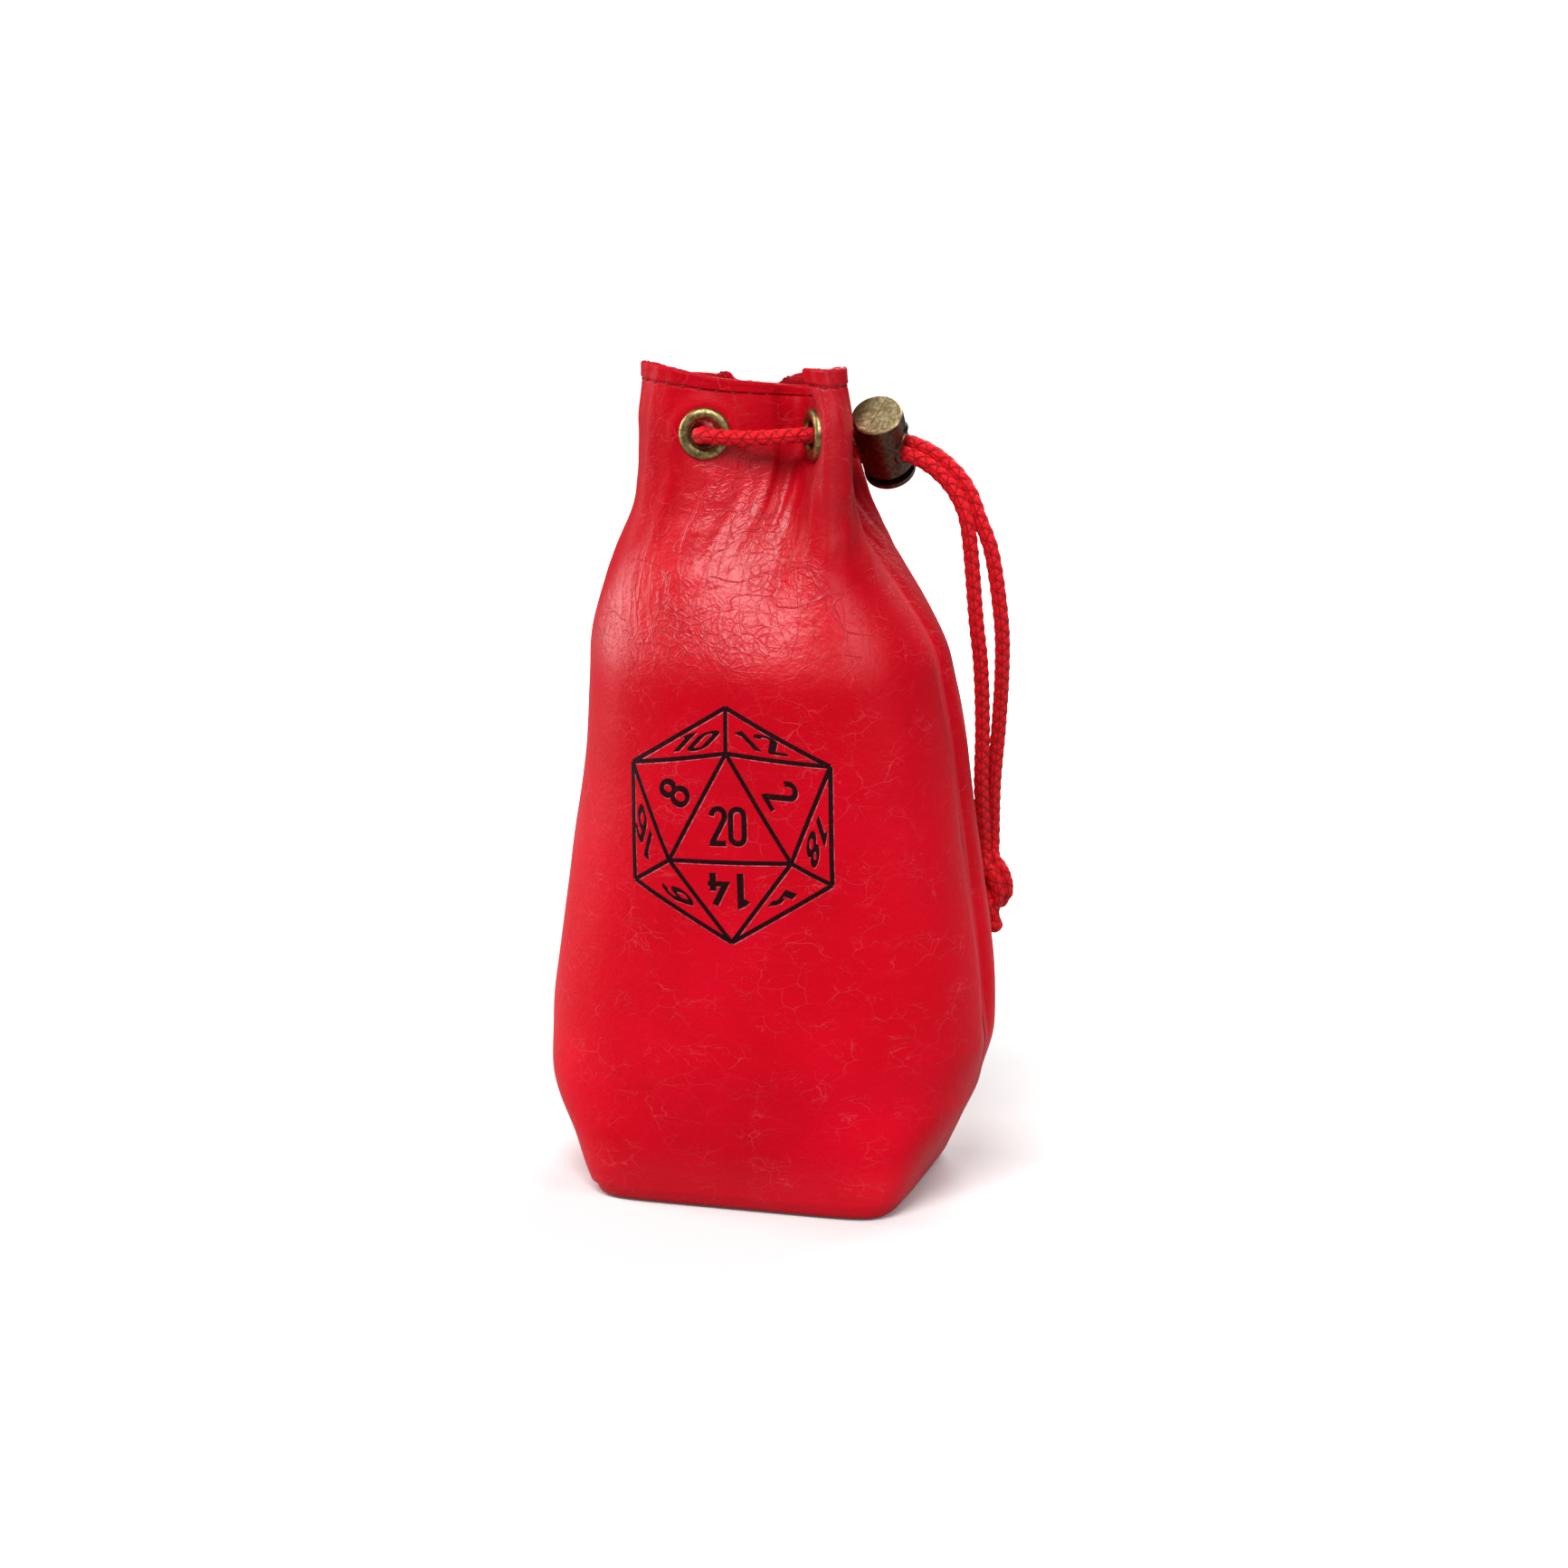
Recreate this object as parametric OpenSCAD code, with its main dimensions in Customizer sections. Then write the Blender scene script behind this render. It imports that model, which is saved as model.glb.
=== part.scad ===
// Drawstring dice bag: a leather shell with a suede lining and a boxed base, metal eyelets
// round a gathered neck, one braided cord laced through them and a spring cord lock.
// Origin: centre of the base, on the table. +Z is up and the printed front faces -Y.

/* [Bag] */
// Height of the hem above the table
bag_h = 152; // [149:1:156]
// Width of the flat base, along X
base_w = 57; // [54:1:59]
// Depth of the flat base, along Y
base_d = 49.4; // [47:0.2:51]
// Width of the belly between the side seams
belly_w = 82; // [80:1:84]
// Depth of the belly, front to back
belly_d = 59.2; // [58:0.2:61]
// Height at which the neck starts to tilt open
neck_z = 100; // [98:1:102]

/* [Sheet] */
// Leather thickness
leather_t = 1.2; // [1:0.1:1.3]
// Suede lining thickness
lining_t = 0.8; // [0.6:0.1:0.9]
// Clearance between neighbouring soft pieces
gap = 0.1; // [0.08:0.01:0.12]

/* [Eyelets] */
// Outside diameter of an eyelet's flange
eyelet_d = 9.3; // [9:0.1:9.4]
// Diameter of the hole through an eyelet
eyelet_hole_d = 5; // [4.8:0.1:5.2]
// Height of the eyelets above the table
eyelet_z = 140; // [139:0.5:141]

/* [Cord] */
// Diameter of the braided cord
cord_d = 2.6; // [2.4:0.1:2.6]

/* [Cord lock] */
// Outside diameter of the lock's barrel
lock_d = 9.2; // [9.1:0.1:9.4]
// Diameter of the hole across the lock
lock_hole_d = 6.6; // [6.6:0.1:6.8]
// Distance that the plunger travels when it is pressed
press_travel = 1.6; // [1.2:0.1:1.6]
// Radius of the bend that the cord takes below the lock
bend_r = 17; // [17:0.5:18]

/* [Hidden] */

FRONT = -1;             // the half of the bag towards -Y
BACK = 1;               // the half of the bag towards +Y
COLS = 44;              // facets across each half of the bag
SEAM_GAP = 0.12;        // distance of each half's edge from the plane of the side seams
SEAM_DEPTH = 2.2;       // how far the side seams sink between the panels
SEAM_REACH = 3.5;       // half the width of the crease at a side seam
GATHER_Z = [98, 144];   // heights between which the belly turns into the gathered neck
RIM_Z = bag_h - 8;      // the rim dips and rises above this height
LEATHER = "crimson";
SUEDE = "darkred";
BRASS = "darkgoldenrod";
CORD = "red";

// Belly outline: height, half width, front depth, back depth, squareness, sideways lean
BELLY = [
    [0, base_w / 2, base_d / 2, base_d / 2, 8, -0.4],
    [10, belly_w / 2 - 7, base_d / 2 + 1.6, base_d / 2 + 1.8, 4.2, -1],
    [20, belly_w / 2 - 1.6, belly_d / 2 - 1.6, belly_d / 2 - 1, 2.7, -1.1],
    [30, belly_w / 2, belly_d / 2 - 0.3, belly_d / 2 + 0.5, 2.4, -0.1],
    [60, belly_w / 2 - 3.4, belly_d / 2 + 0.6, belly_d / 2 + 1.4, 2.3, 0.4],
    [80, belly_w / 2 - 6.3, belly_d / 2 + 0.2, belly_d / 2 + 0.8, 2.3, 0.5],
    [96, belly_w / 2 - 8.1, belly_d / 2 - 1.2, belly_d / 2 - 0.6, 2.25, -0.5],
    [106, belly_w / 2 - 9.1, belly_d / 2 - 2.6, belly_d / 2 - 2, 2.2, -1.8],
    [118, belly_w / 2 - 10.3, belly_d / 2 - 4.4, belly_d / 2 - 3.8, 2.2, -2.7],
    [130, belly_w / 2 - 13.4, belly_d / 2 - 8, belly_d / 2 - 7.6, 2.1, -1.9],
    [bag_h, belly_w / 2 - 17, belly_d / 2 - 11.6, belly_d / 2 - 11, 2.1, -1]
];

// Gathered neck, seen from above, from the right side seam to the left one
NECK_FRONT = [
    [2.5, 0], [5.6, -1.2], [9.2, -2.9], [12.8, -4.7], [16, -7.4], [17.4, -11.5],
    [17.2, -15.8], [14.9, -18.6], [12.5, -17], [10.6, -13], [8.8, -9.6], [6.2, -8.9],
    [2.2, -12.4], [-5, -16.6], [-12.5, -17.4], [-19, -15.4], [-22.1, -11.6], [-22.3, -7.8],
    [-20, -4.8], [-16.6, -3], [-13, -1.4], [-10, 0]
];
NECK_BACK = [
    [2.5, 0], [5.6, 1.6], [9, 3.8], [11.6, 7], [11.6, 11.5], [8.6, 15.4], [3, 16.8],
    [-2, 14.8], [-5.4, 10.8], [-7.8, 9.8], [-9.6, 12.6], [-11.8, 16.6], [-14.6, 18.8],
    [-18.6, 17.4], [-21, 13], [-21.8, 8.8], [-19.8, 5.4], [-16.4, 3.6], [-13, 1.6], [-10, 0]
];

// Where the eyelets sit, as a share of each half's edge from the right side seam
EYE_FRONT = [0.078, 0.372, 0.624, 0.918];
EYE_BACK = [0.066, 0.335, 0.552, 0.935];

PANEL_ROWS = [0, 3, 6.5, 10, 15, 20, 25, 30, 42, 56, 70, 84, neck_z - gap];
NECK_ROWS = [neck_z + gap, 106, 112, 118, 124, 130, 135, 140, 144, 148, bag_h];

// ---- Outline functions ----

function mix(a, b, t) = a + (b - a) * t;
function smooth(t) = let (s = min(max(t, 0), 1)) s * s * (3 - 2 * s);
function rise(t, i, c) = (t[i + 1][c] - t[i][c]) / (t[i + 1][0] - t[i][0]);

// Slope at a row of a table, flattened at its peaks so that the curve never overshoots
function slope(t, i, c) =
    i == 0 ? rise(t, 0, c) :
    i == len(t) - 1 ? rise(t, i - 1, c) :
    let (a = rise(t, i - 1, c), b = rise(t, i, c)) a * b <= 0 ? 0 : 2 * a * b / (a + b);
function row_below(t, z, i = 0) = i >= len(t) - 2 || z < t[i + 1][0] ? i : row_below(t, z, i + 1);

// Column c of a table at height z, as a smooth curve through its rows
function curve(t, z, c) =
    let (i = row_below(t, z), h = t[i + 1][0] - t[i][0], s = (z - t[i][0]) / h)
    (1 + 2 * s) * pow(1 - s, 2) * t[i][c] + s * pow(1 - s, 2) * h * slope(t, i, c)
    + s * s * (3 - 2 * s) * t[i + 1][c] + s * s * (s - 1) * h * slope(t, i + 1, c);

// A point on a smooth curve through points p, at parameter s from 0 to len(p) - 1
function spline(p, s) =
    let (i = min(floor(s), len(p) - 2), t = s - i, a = p[max(i - 1, 0)], b = p[i], c = p[i + 1],
         d = p[min(i + 2, len(p) - 1)])
    0.5 * (2 * b + (c - a) * t + (2 * a - 5 * b + 4 * c - d) * t * t
           + (3 * b - a - 3 * c + d) * pow(t, 3));
function splined(p, steps) = [for (k = [0 : steps]) spline(p, k * (len(p) - 1) / steps)];

// The same outline with COLS equal steps along its length
function lengths(p) = [for (i = 0, s = 0; i < len(p); i = i + 1,
                            s = s + (i < len(p) ? norm(p[i] - p[i - 1]) : 0)) s];
function even(p) =
    let (s = lengths(p), all = s[len(s) - 1],
         tx = [for (i = [0 : len(p) - 1]) [s[i], p[i][0]]],
         ty = [for (i = [0 : len(p) - 1]) [s[i], p[i][1]]])
    [for (k = [0 : COLS]) [lookup(all * k / COLS, tx), lookup(all * k / COLS, ty)]];

neck_even = [even(splined(NECK_FRONT, 160)), even(splined(NECK_BACK, 160))];
function neck_of(side) = side == FRONT ? neck_even[0] : neck_even[1];

// Half of the belly's rounded box at height z
function belly(side, z) =
    let (a = curve(BELLY, z, 1), b = curve(BELLY, z, side == FRONT ? 2 : 3),
         n = curve(BELLY, z, 4), lean = curve(BELLY, z, 5))
    even([for (k = [0 : 2 : 180])
        [lean + a * sign(cos(k)) * pow(abs(cos(k)), 2 / n), side * b * pow(sin(k), 2 / n)]]);
function crease(z) = SEAM_DEPTH * smooth((z - 20) / 20) * (1 - smooth((z - 106) / 24));
function creased(p, z) = [p[0] - sign(p[0]) * crease(z) * exp(-pow(p[1] / SEAM_REACH, 2)), p[1]];

// Outer edge of half the bag at height z
function outline(side, z) =
    let (w = smooth((z - GATHER_Z[0]) / (GATHER_Z[1] - GATHER_Z[0])), b = belly(side, z),
         n = neck_of(side))
    [for (k = [0 : COLS]) mix(creased(b[k], z), n[k], w)];

// The outline moved inwards by t, with its two ends kept at the side seams
function inward(p, k, side) =
    let (d = p[min(k + 1, COLS)] - p[max(k - 1, 0)]) side * [-d[1], d[0]] / norm(d);
function inset(p, t, side) = [for (k = [0 : COLS])
    let (q = p[k] + t * inward(p, k, side), x = k == 0 ? p[0][0] - t : k == COLS ? p[COLS][0] + t : q[0])
    [x, side * max(SEAM_GAP, k == 0 || k == COLS ? 0 : side * q[1])]];

// The rim slopes down towards the fold beside the right eyelet and falls away towards the back
function rim_dip(p) = 3.6 * smooth((p[0] + 24) / 32) * (1 - smooth((p[0] - 9) / 3)) * smooth(-p[1] / 4 - 1)
                      + 3.5 * smooth((p[1] + 12) / 14);
function lifted(p, z) = [p[0], p[1], z - rim_dip(p) * smooth((z - RIM_Z) / (bag_h - RIM_Z))];

function wall(side, rows, t) = [for (z = rows) [for (p = inset(outline(side, z), t, side)) lifted(p, z)]];

// ---- Sheet builders ----

function flat(grid) = [for (row = grid) for (p = row) p];
function quad(a, b, c, d) = [[a, b, c], [a, c, d]];

// A closed sheet between two grids of points with the same rows and columns
module sheet(outer, inner, side) {
    rows = len(outer);
    cols = len(outer[0]);
    half = rows * cols;
    function at(r, c, layer) = layer * half + r * cols + c;
    faces = [
        for (r = [0 : rows - 2], c = [0 : cols - 2])
            each quad(at(r, c, 0), at(r, c + 1, 0), at(r + 1, c + 1, 0), at(r + 1, c, 0)),
        for (r = [0 : rows - 2], c = [0 : cols - 2])
            each quad(at(r, c, 1), at(r + 1, c, 1), at(r + 1, c + 1, 1), at(r, c + 1, 1)),
        for (c = [0 : cols - 2], r = [0, rows - 1])
            each r == 0 ? quad(at(r, c, 0), at(r, c, 1), at(r, c + 1, 1), at(r, c + 1, 0))
                        : quad(at(r, c, 0), at(r, c + 1, 0), at(r, c + 1, 1), at(r, c, 1)),
        for (r = [0 : rows - 2], c = [0, cols - 1])
            each c == 0 ? quad(at(r, c, 0), at(r + 1, c, 0), at(r + 1, c, 1), at(r, c, 1))
                        : quad(at(r, c, 0), at(r, c, 1), at(r + 1, c, 1), at(r + 1, c, 0))
    ];
    polyhedron(concat(flat(outer), flat(inner)),
               side == FRONT ? faces : [for (f = faces) [f[0], f[2], f[1]]]);
}

// The base folds under each wall as far as the bottom seam, which lies just behind the middle
BASE_SEAM = 0.6;
function under(row, z, side) = [for (p = row) [p[0] * 0.96, BASE_SEAM + side * SEAM_GAP, z]];

module panel(side) {
    outer = wall(side, PANEL_ROWS, 0);
    inner = wall(side, [for (z = PANEL_ROWS) max(z, leather_t)], leather_t);
    sheet(concat([under(outer[0], 0, side)], outer),
          concat([under(inner[0], leather_t, side)], inner), side);
}

module neck_sheet(side, t, thickness, top) {
    rows = [for (z = NECK_ROWS) z == bag_h ? bag_h + top : z];
    sheet(wall(side, rows, t), wall(side, rows, t + thickness), side);
}

module lining_body() {
    t = leather_t + gap;
    rows = [for (z = PANEL_ROWS) if (z > 2.5) z];
    function ring(z, height, depth) = concat(
        [for (p = inset(outline(FRONT, z), depth, FRONT)) [p[0], p[1], height]],
        [for (k = [COLS : -1 : 0]) let (p = inset(outline(BACK, z), depth, BACK)[k]) [p[0], p[1], height]]);
    outer = concat([ring(t, t, t)], [for (z = rows) ring(z, z, t)]);
    inner = concat([ring(t, t + lining_t, t + lining_t)], [for (z = rows) ring(z, z, t + lining_t)]);
    n = len(outer[0]);
    last = len(outer) - 1;
    half = n * len(outer);
    function at(r, c, layer) = layer * half + r * n + c % n;
    // The back half's squares are split the other way, to lie along the back panel's
    function split(a, b, c, d, turned) = turned ? quad(b, c, d, a) : quad(a, b, c, d);
    color(SUEDE) polyhedron(concat(flat(outer), flat(inner)), [
        [for (c = [n - 1 : -1 : 0]) at(0, c, 0)],
        [for (c = [0 : n - 1]) at(0, c, 1)],
        for (r = [0 : last - 1], c = [0 : n - 1])
            each split(at(r, c, 0), at(r, c + 1, 0), at(r + 1, c + 1, 0), at(r + 1, c, 0), c > COLS),
        for (r = [0 : last - 1], c = [0 : n - 1])
            each split(at(r, c, 1), at(r + 1, c, 1), at(r + 1, c + 1, 1), at(r, c + 1, 1), c > COLS),
        for (c = [0 : n - 1])
            each quad(at(last, c, 0), at(last, c + 1, 0), at(last, c + 1, 1), at(last, c, 1))
    ]);
}

// ---- Eyelets ----

FLANGE_H = 0.9;         // height of an eyelet's rounded flange
EYE_WALL = 0.35;        // wall of its barrel
SEAT = 0.25;            // how far the flange presses into the leather
GRIP = leather_t + gap + lining_t;  // stack that an eyelet clamps
WASHER_T = 0.4;
CURL_H = 0.5;           // height of the barrel's rolled end over the washer
barrel_r = eyelet_hole_d / 2 + EYE_WALL;

// Place on the neck: its point at eyelet height and the direction out of the bag
function eye(side, share) =
    let (p = outline(side, eyelet_z), s = share * COLS, i = floor(s), q = mix(p[i], p[i + 1], s - i),
         d = p[min(i + 3, COLS)] - p[max(i - 2, 0)], n = side * [d[1], -d[0]] / norm(d))
    [[q[0], q[1], eyelet_z], [n[0], n[1], 0]];

module at_eye(side, share) {
    e = eye(side, share);
    translate(e[0]) rotate([0, 90, atan2(e[1][1], e[1][0])]) children();
}

module eyelet(side, share) {
    color(BRASS) at_eye(side, share) rotate_extrude($fn = 48) union() {
        difference() {
            translate([(eyelet_d / 2 + barrel_r - EYE_WALL) / 2, -SEAT])
                scale([(eyelet_d / 2 - barrel_r + EYE_WALL) / 2, FLANGE_H]) circle(1, $fn = 32);
            translate([0, -SEAT - FLANGE_H]) square([eyelet_d, FLANGE_H]);
        }
        translate([barrel_r - EYE_WALL, -SEAT - GRIP - WASHER_T - CURL_H])
            square([EYE_WALL, GRIP + WASHER_T + CURL_H + FLANGE_H / 3]);
        translate([barrel_r - EYE_WALL, -SEAT - GRIP - WASHER_T - CURL_H]) square([EYE_WALL + 0.5, CURL_H]);
    }
}

module washer(side, share) {
    color(BRASS) at_eye(side, share) translate([0, 0, -SEAT - GRIP - WASHER_T]) difference() {
        cylinder(h = WASHER_T, d = eyelet_d - 0.5, $fn = 48);
        translate([0, 0, -1]) cylinder(h = WASHER_T + 2, r = barrel_r + gap / 2, $fn = 48);
    }
}

// What an eyelet takes out of the sheets: its barrel's hole and a flat seat on either side
module eye_cut(side, share) {
    at_eye(side, share) {
        translate([0, 0, -4]) cylinder(h = 8, r = barrel_r + gap / 2, $fn = 48);
        translate([0, 0, -SEAT]) cylinder(h = 3, d = eyelet_d + 0.4, $fn = 48);
        translate([0, 0, -SEAT - GRIP - 1.6]) cylinder(h = 1.6, d = eyelet_d, $fn = 48);
    }
}
module eye_cuts(side) {
    for (share = side == FRONT ? EYE_FRONT : EYE_BACK) eye_cut(side, share);
}

module neck(side) {
    color(LEATHER) difference() {
        neck_sheet(side, 0, leather_t, 0);
        eye_cuts(side);
    }
}

module neck_lining(side) {
    color(SUEDE) difference() {
        neck_sheet(side, leather_t + gap, lining_t, 0.8);
        eye_cuts(side);
    }
}

// ---- Hem stitches ----

STITCH_L = 2.2;
STITCH_D = 0.45;
STITCHES = 26;
HEM_H = 3.4;            // from the rim down to the stitch line

module hem_thread(side) {
    p = outline(side, bag_h);
    color("firebrick") for (i = [1 : STITCHES - 1]) {
        s = i * COLS / STITCHES;
        k = floor(s);
        q = mix(p[k], p[k + 1], s - k);
        d = p[k + 1] - p[k];
        n = side * [d[1], -d[0]] / norm(d);
        translate([q[0] + n[0] * STITCH_D * 0.7, q[1] + n[1] * STITCH_D * 0.7, bag_h - HEM_H - rim_dip(q)])
            rotate([0, 90, atan2(d[1], d[0])]) cylinder(h = STITCH_L, d = STITCH_D, center = true, $fn = 16);
    }
}

// ---- Cord ----

function along(p, step) = [for (k = [0 : step]) spline(p, k * (len(p) - 1) / step)];

// A round tube along points p, with a domed or a flat start; ref is any direction that p never runs along
module tube(p, d, ref, domed = false) {
    sides = 8;
    rise = (p[1] - p[0]) / norm(p[1] - p[0]);
    dome = domed ? [for (a = [20, 45, 70]) [p[0] - rise * cos(a) * d / 2, sin(a) * d / 2]] : [];
    rings = concat(dome, [for (q = p) [q, d / 2]]);
    n = len(rings);
    points = [for (i = [0 : n - 1])
        let (t = rings[min(i + 1, n - 1)][0] - rings[max(i - 1, 0)][0],
             u = cross(ref, t) / norm(cross(ref, t)), v = cross(t, u) / norm(t))
        for (k = [0 : sides - 1])
            rings[i][0] + rings[i][1] * (u * cos(k * 360 / sides) + v * sin(k * 360 / sides))];
    polyhedron(points, concat(
        [[for (k = [0 : sides - 1]) k]],
        [[for (k = [sides - 1 : -1 : 0]) (n - 1) * sides + k]],
        [for (i = [0 : n - 2], k = [0 : sides - 1]) let (j = (k + 1) % sides)
            each quad(i * sides + k, (i + 1) * sides + k, (i + 1) * sides + j, i * sides + j)]
    ));
}

function off(e, t, down = 0) = e[0] + t * e[1] - [0, 0, down];
MEET = 0.44;            // each cord's share of the way across the left side seam
INSIDE = 4.2;           // depth at which the cord runs behind the lining
OUT = 2.6;              // distance at which it runs in front of the leather

front_eyes = [for (s = EYE_FRONT) eye(FRONT, s)];
back_eyes = [for (s = EYE_BACK) eye(BACK, s)];

// Both cords run side by side through the lock and bend down beyond it on one centre line
LOCK_TILT = 41.5;       // the lock's closed end leans towards the front
PLACE = [20.6, -1.5];   // the lock's middle, seen from above
BEND_FROM = -16;        // start and end of the bend, in degrees from its highest point
BEND_TO = 68;
SWING_AT = 76;          // where the tails swing from
lock_at = [PLACE[0], PLACE[1], eyelet_z - 2.5];
bend_at = lock_at - [0, 0, bend_r];
sag = bend_r - sqrt(bend_r * bend_r - lock_d * lock_d / 4);
function in_lock(u, v) =
    [0, u * cos(LOCK_TILT) - v * sin(LOCK_TILT), u * sin(LOCK_TILT) + v * cos(LOCK_TILT)];
function cord_in_lock(side) = in_lock(side * (cord_d / 2 + gap / 2), -press_travel / 2);
function bend_radius(side) = bend_r + cord_in_lock(side)[2] + sag / 2;
function on_bend(side, a) = [
    bend_at[0] + bend_radius(side) * sin(a),
    bend_at[1] + cord_in_lock(side)[1],
    bend_at[2] + bend_radius(side) * cos(a)
];

// Laced path of one half, from near the lock round to the left side seam
function eyes(side) = side == FRONT ? front_eyes : back_eyes;
function leaving(side) = off(eyes(side)[3], 1.2);
function lacing(e, side) = [
    off(e[0], 2.2, -side * 0.8), off(e[0], 0), off(e[0], 0.6 - INSIDE),
    mix(off(e[0], -INSIDE), off(e[1], -INSIDE), 0.55) + [1.6, 0, 0],
    off(e[1], 0.8 - INSIDE), off(e[1], 0), off(e[1], OUT - 0.4),
    mix(off(e[1], OUT), off(e[2], OUT), 0.5) - [0, 0, 0.5],
    off(e[2], OUT), off(e[2], 0.4), off(e[2], 0.6 - INSIDE),
    mix(off(e[2], -INSIDE), off(e[3], -INSIDE), 0.5) + [1.5, 0, 0],
    off(e[3], 0.8 - INSIDE), off(e[3], 0), leaving(side),
    mix(leaving(side), leaving(-side), MEET)
];
module cord_half(side) {
    color(CORD) tube(along(lacing(eyes(side), side), 80), cord_d, [0, 0, 1]);
}

module cord_bend(side) {
    color(CORD) translate([bend_at[0], on_bend(side, 0)[1], bend_at[2]]) rotate([90, 0, 0])
        rotate_extrude(angle = BEND_TO - BEND_FROM, start = 90 - BEND_TO, $fn = 72)
            translate([bend_radius(side), 0]) circle(d = cord_d, $fn = 32);
}

// The two tails hang beside the bag and are tied together in one overhand knot
KNOT_AT = [40, 16.4, 52];
KNOT_D = 7.8;
TIP_L = 4;
HANG_FRONT = [[36.6, -1, 118], [37.8, 1.5, 106], [38.6, 4, 97], [39, 7.6, 85], [38, 10.5, 72]];
HANG_BACK = [[40.2, 0.8, 118], [42.2, 3, 106], [42.4, 5.4, 97], [41.4, 9.4, 85], [41.2, 12.4, 72]];
function knot_top(side) = KNOT_AT + [side * 1.2, side * 0.9, KNOT_D / 2 + 0.3];

module cord_tail(side) {
    hang = side == FRONT ? HANG_FRONT : HANG_BACK;
    path = along(concat([on_bend(side, SWING_AT)], hang, [knot_top(side)]), 30);
    color(CORD) tube(path, cord_d, [0, 1, 0], true);
}

module end_knot() {
    color(CORD) translate(KNOT_AT) {
        sphere(d = KNOT_D, $fn = 48);
        for (side = [FRONT, BACK]) translate([side * 1.6, side * 0.6, -KNOT_D / 2 - gap - TIP_L])
            cylinder(h = TIP_L, d = cord_d, $fn = 32);
    }
}

// ---- Cord lock ----

BARREL_TOP = 7.6;       // from the cross hole's centre up to the closed end
BARREL_END = 4.6;       // and down to the open end
END_WALL = 1;
SIDE_WALL = 0.9;
RUN = 0.08;             // radial clearance of the plunger
BUTTON_H = 1;
CHAMFER = 0.35;
LIP = 0.3;              // height of the raised lip round the cross hole
PLUNGER_TOP = 3;
BARREL_L = BARREL_TOP + BARREL_END;
cavity_r = lock_d / 2 - SIDE_WALL;

module at_lock() { translate(lock_at) rotate([LOCK_TILT, 0, 0]) children(); }
module across(d) { rotate([0, 90, 0]) cylinder(h = lock_d * 2, d = d, center = true, $fn = 48); }

module lock_barrel() {
    color("dimgray") at_lock() difference() {
        union() {
            translate([0, 0, -BARREL_END])
                cylinder(h = BARREL_L - CHAMFER, d = lock_d, $fn = 64);
            translate([0, 0, BARREL_TOP - CHAMFER])
                cylinder(h = CHAMFER, d1 = lock_d, d2 = lock_d - 2 * CHAMFER, $fn = 64);
            intersection() {
                across(lock_hole_d + 1);
                translate([0, 0, -BARREL_END]) cylinder(h = BARREL_L, r = lock_d / 2 + LIP, $fn = 64);
            }
        }
        translate([0, 0, -BARREL_END - 1])
            cylinder(h = BARREL_L - END_WALL + 1, r = cavity_r, $fn = 64);
        across(lock_hole_d);
    }
}

module lock_plunger() {
    button_top = -BARREL_END - press_travel;
    color("dimgray") at_lock() difference() {
        union() {
            translate([0, 0, button_top])
                cylinder(h = PLUNGER_TOP - button_top, r = cavity_r - RUN, $fn = 64);
            translate([0, 0, button_top - BUTTON_H]) cylinder(h = BUTTON_H, d = lock_d, $fn = 64);
        }
        translate([0, 0, -press_travel]) across(lock_hole_d);
    }
}

COIL_R = 2.6;
WIRE_D = 0.5;
TURNS = 3;
module lock_spring() {
    low = PLUNGER_TOP + WIRE_D / 2 + gap;
    high = BARREL_TOP - END_WALL - WIRE_D / 2 - gap;
    color("silver") at_lock() tube([for (k = [0 : TURNS * 15])
        [COIL_R * cos(k * 24), COIL_R * sin(k * 24), mix(low, high, k / (TURNS * 15))]], WIRE_D, [0, 0, 1]);
}

// ---- The bag's pieces ----

module front_panel() { color(LEATHER) panel(FRONT); }
module back_panel() { color(LEATHER) panel(BACK); }
module front_neck() { neck(FRONT); }
module back_neck() { neck(BACK); }
module lining_neck_front() { neck_lining(FRONT); }
module lining_neck_back() { neck_lining(BACK); }

front_panel();
back_panel();
lining_body();
front_neck();
back_neck();
lining_neck_front();
lining_neck_back();
eyelet(FRONT, EYE_FRONT[0]);  // eyelet_side_front_right
eyelet(FRONT, EYE_FRONT[1]);  // eyelet_front_right
eyelet(FRONT, EYE_FRONT[2]);  // eyelet_front_left
eyelet(FRONT, EYE_FRONT[3]);  // eyelet_side_front_left
eyelet(BACK, EYE_BACK[0]);  // eyelet_side_back_right
eyelet(BACK, EYE_BACK[1]);  // eyelet_back_right
eyelet(BACK, EYE_BACK[2]);  // eyelet_back_left
eyelet(BACK, EYE_BACK[3]);  // eyelet_side_back_left
washer(FRONT, EYE_FRONT[0]);  // washer_side_front_right
washer(FRONT, EYE_FRONT[1]);  // washer_front_right
washer(FRONT, EYE_FRONT[2]);  // washer_front_left
washer(FRONT, EYE_FRONT[3]);  // washer_side_front_left
washer(BACK, EYE_BACK[0]);  // washer_side_back_right
washer(BACK, EYE_BACK[1]);  // washer_back_right
washer(BACK, EYE_BACK[2]);  // washer_back_left
washer(BACK, EYE_BACK[3]);  // washer_side_back_left
hem_thread(FRONT);  // hem_thread_front
hem_thread(BACK);  // hem_thread_back
cord_half(FRONT);  // cord_front
cord_half(BACK);  // cord_back
cord_bend(FRONT);  // cord_bend_front
cord_bend(BACK);  // cord_bend_back
cord_tail(FRONT);  // cord_tail_front
cord_tail(BACK);  // cord_tail_back
end_knot();
lock_barrel();
lock_plunger();
lock_spring();
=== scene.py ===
"""Looks of the drawstring dice bag.

Leather, suede lining, braided cord, print, metal finishes, light and camera.
"""
import math

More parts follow.
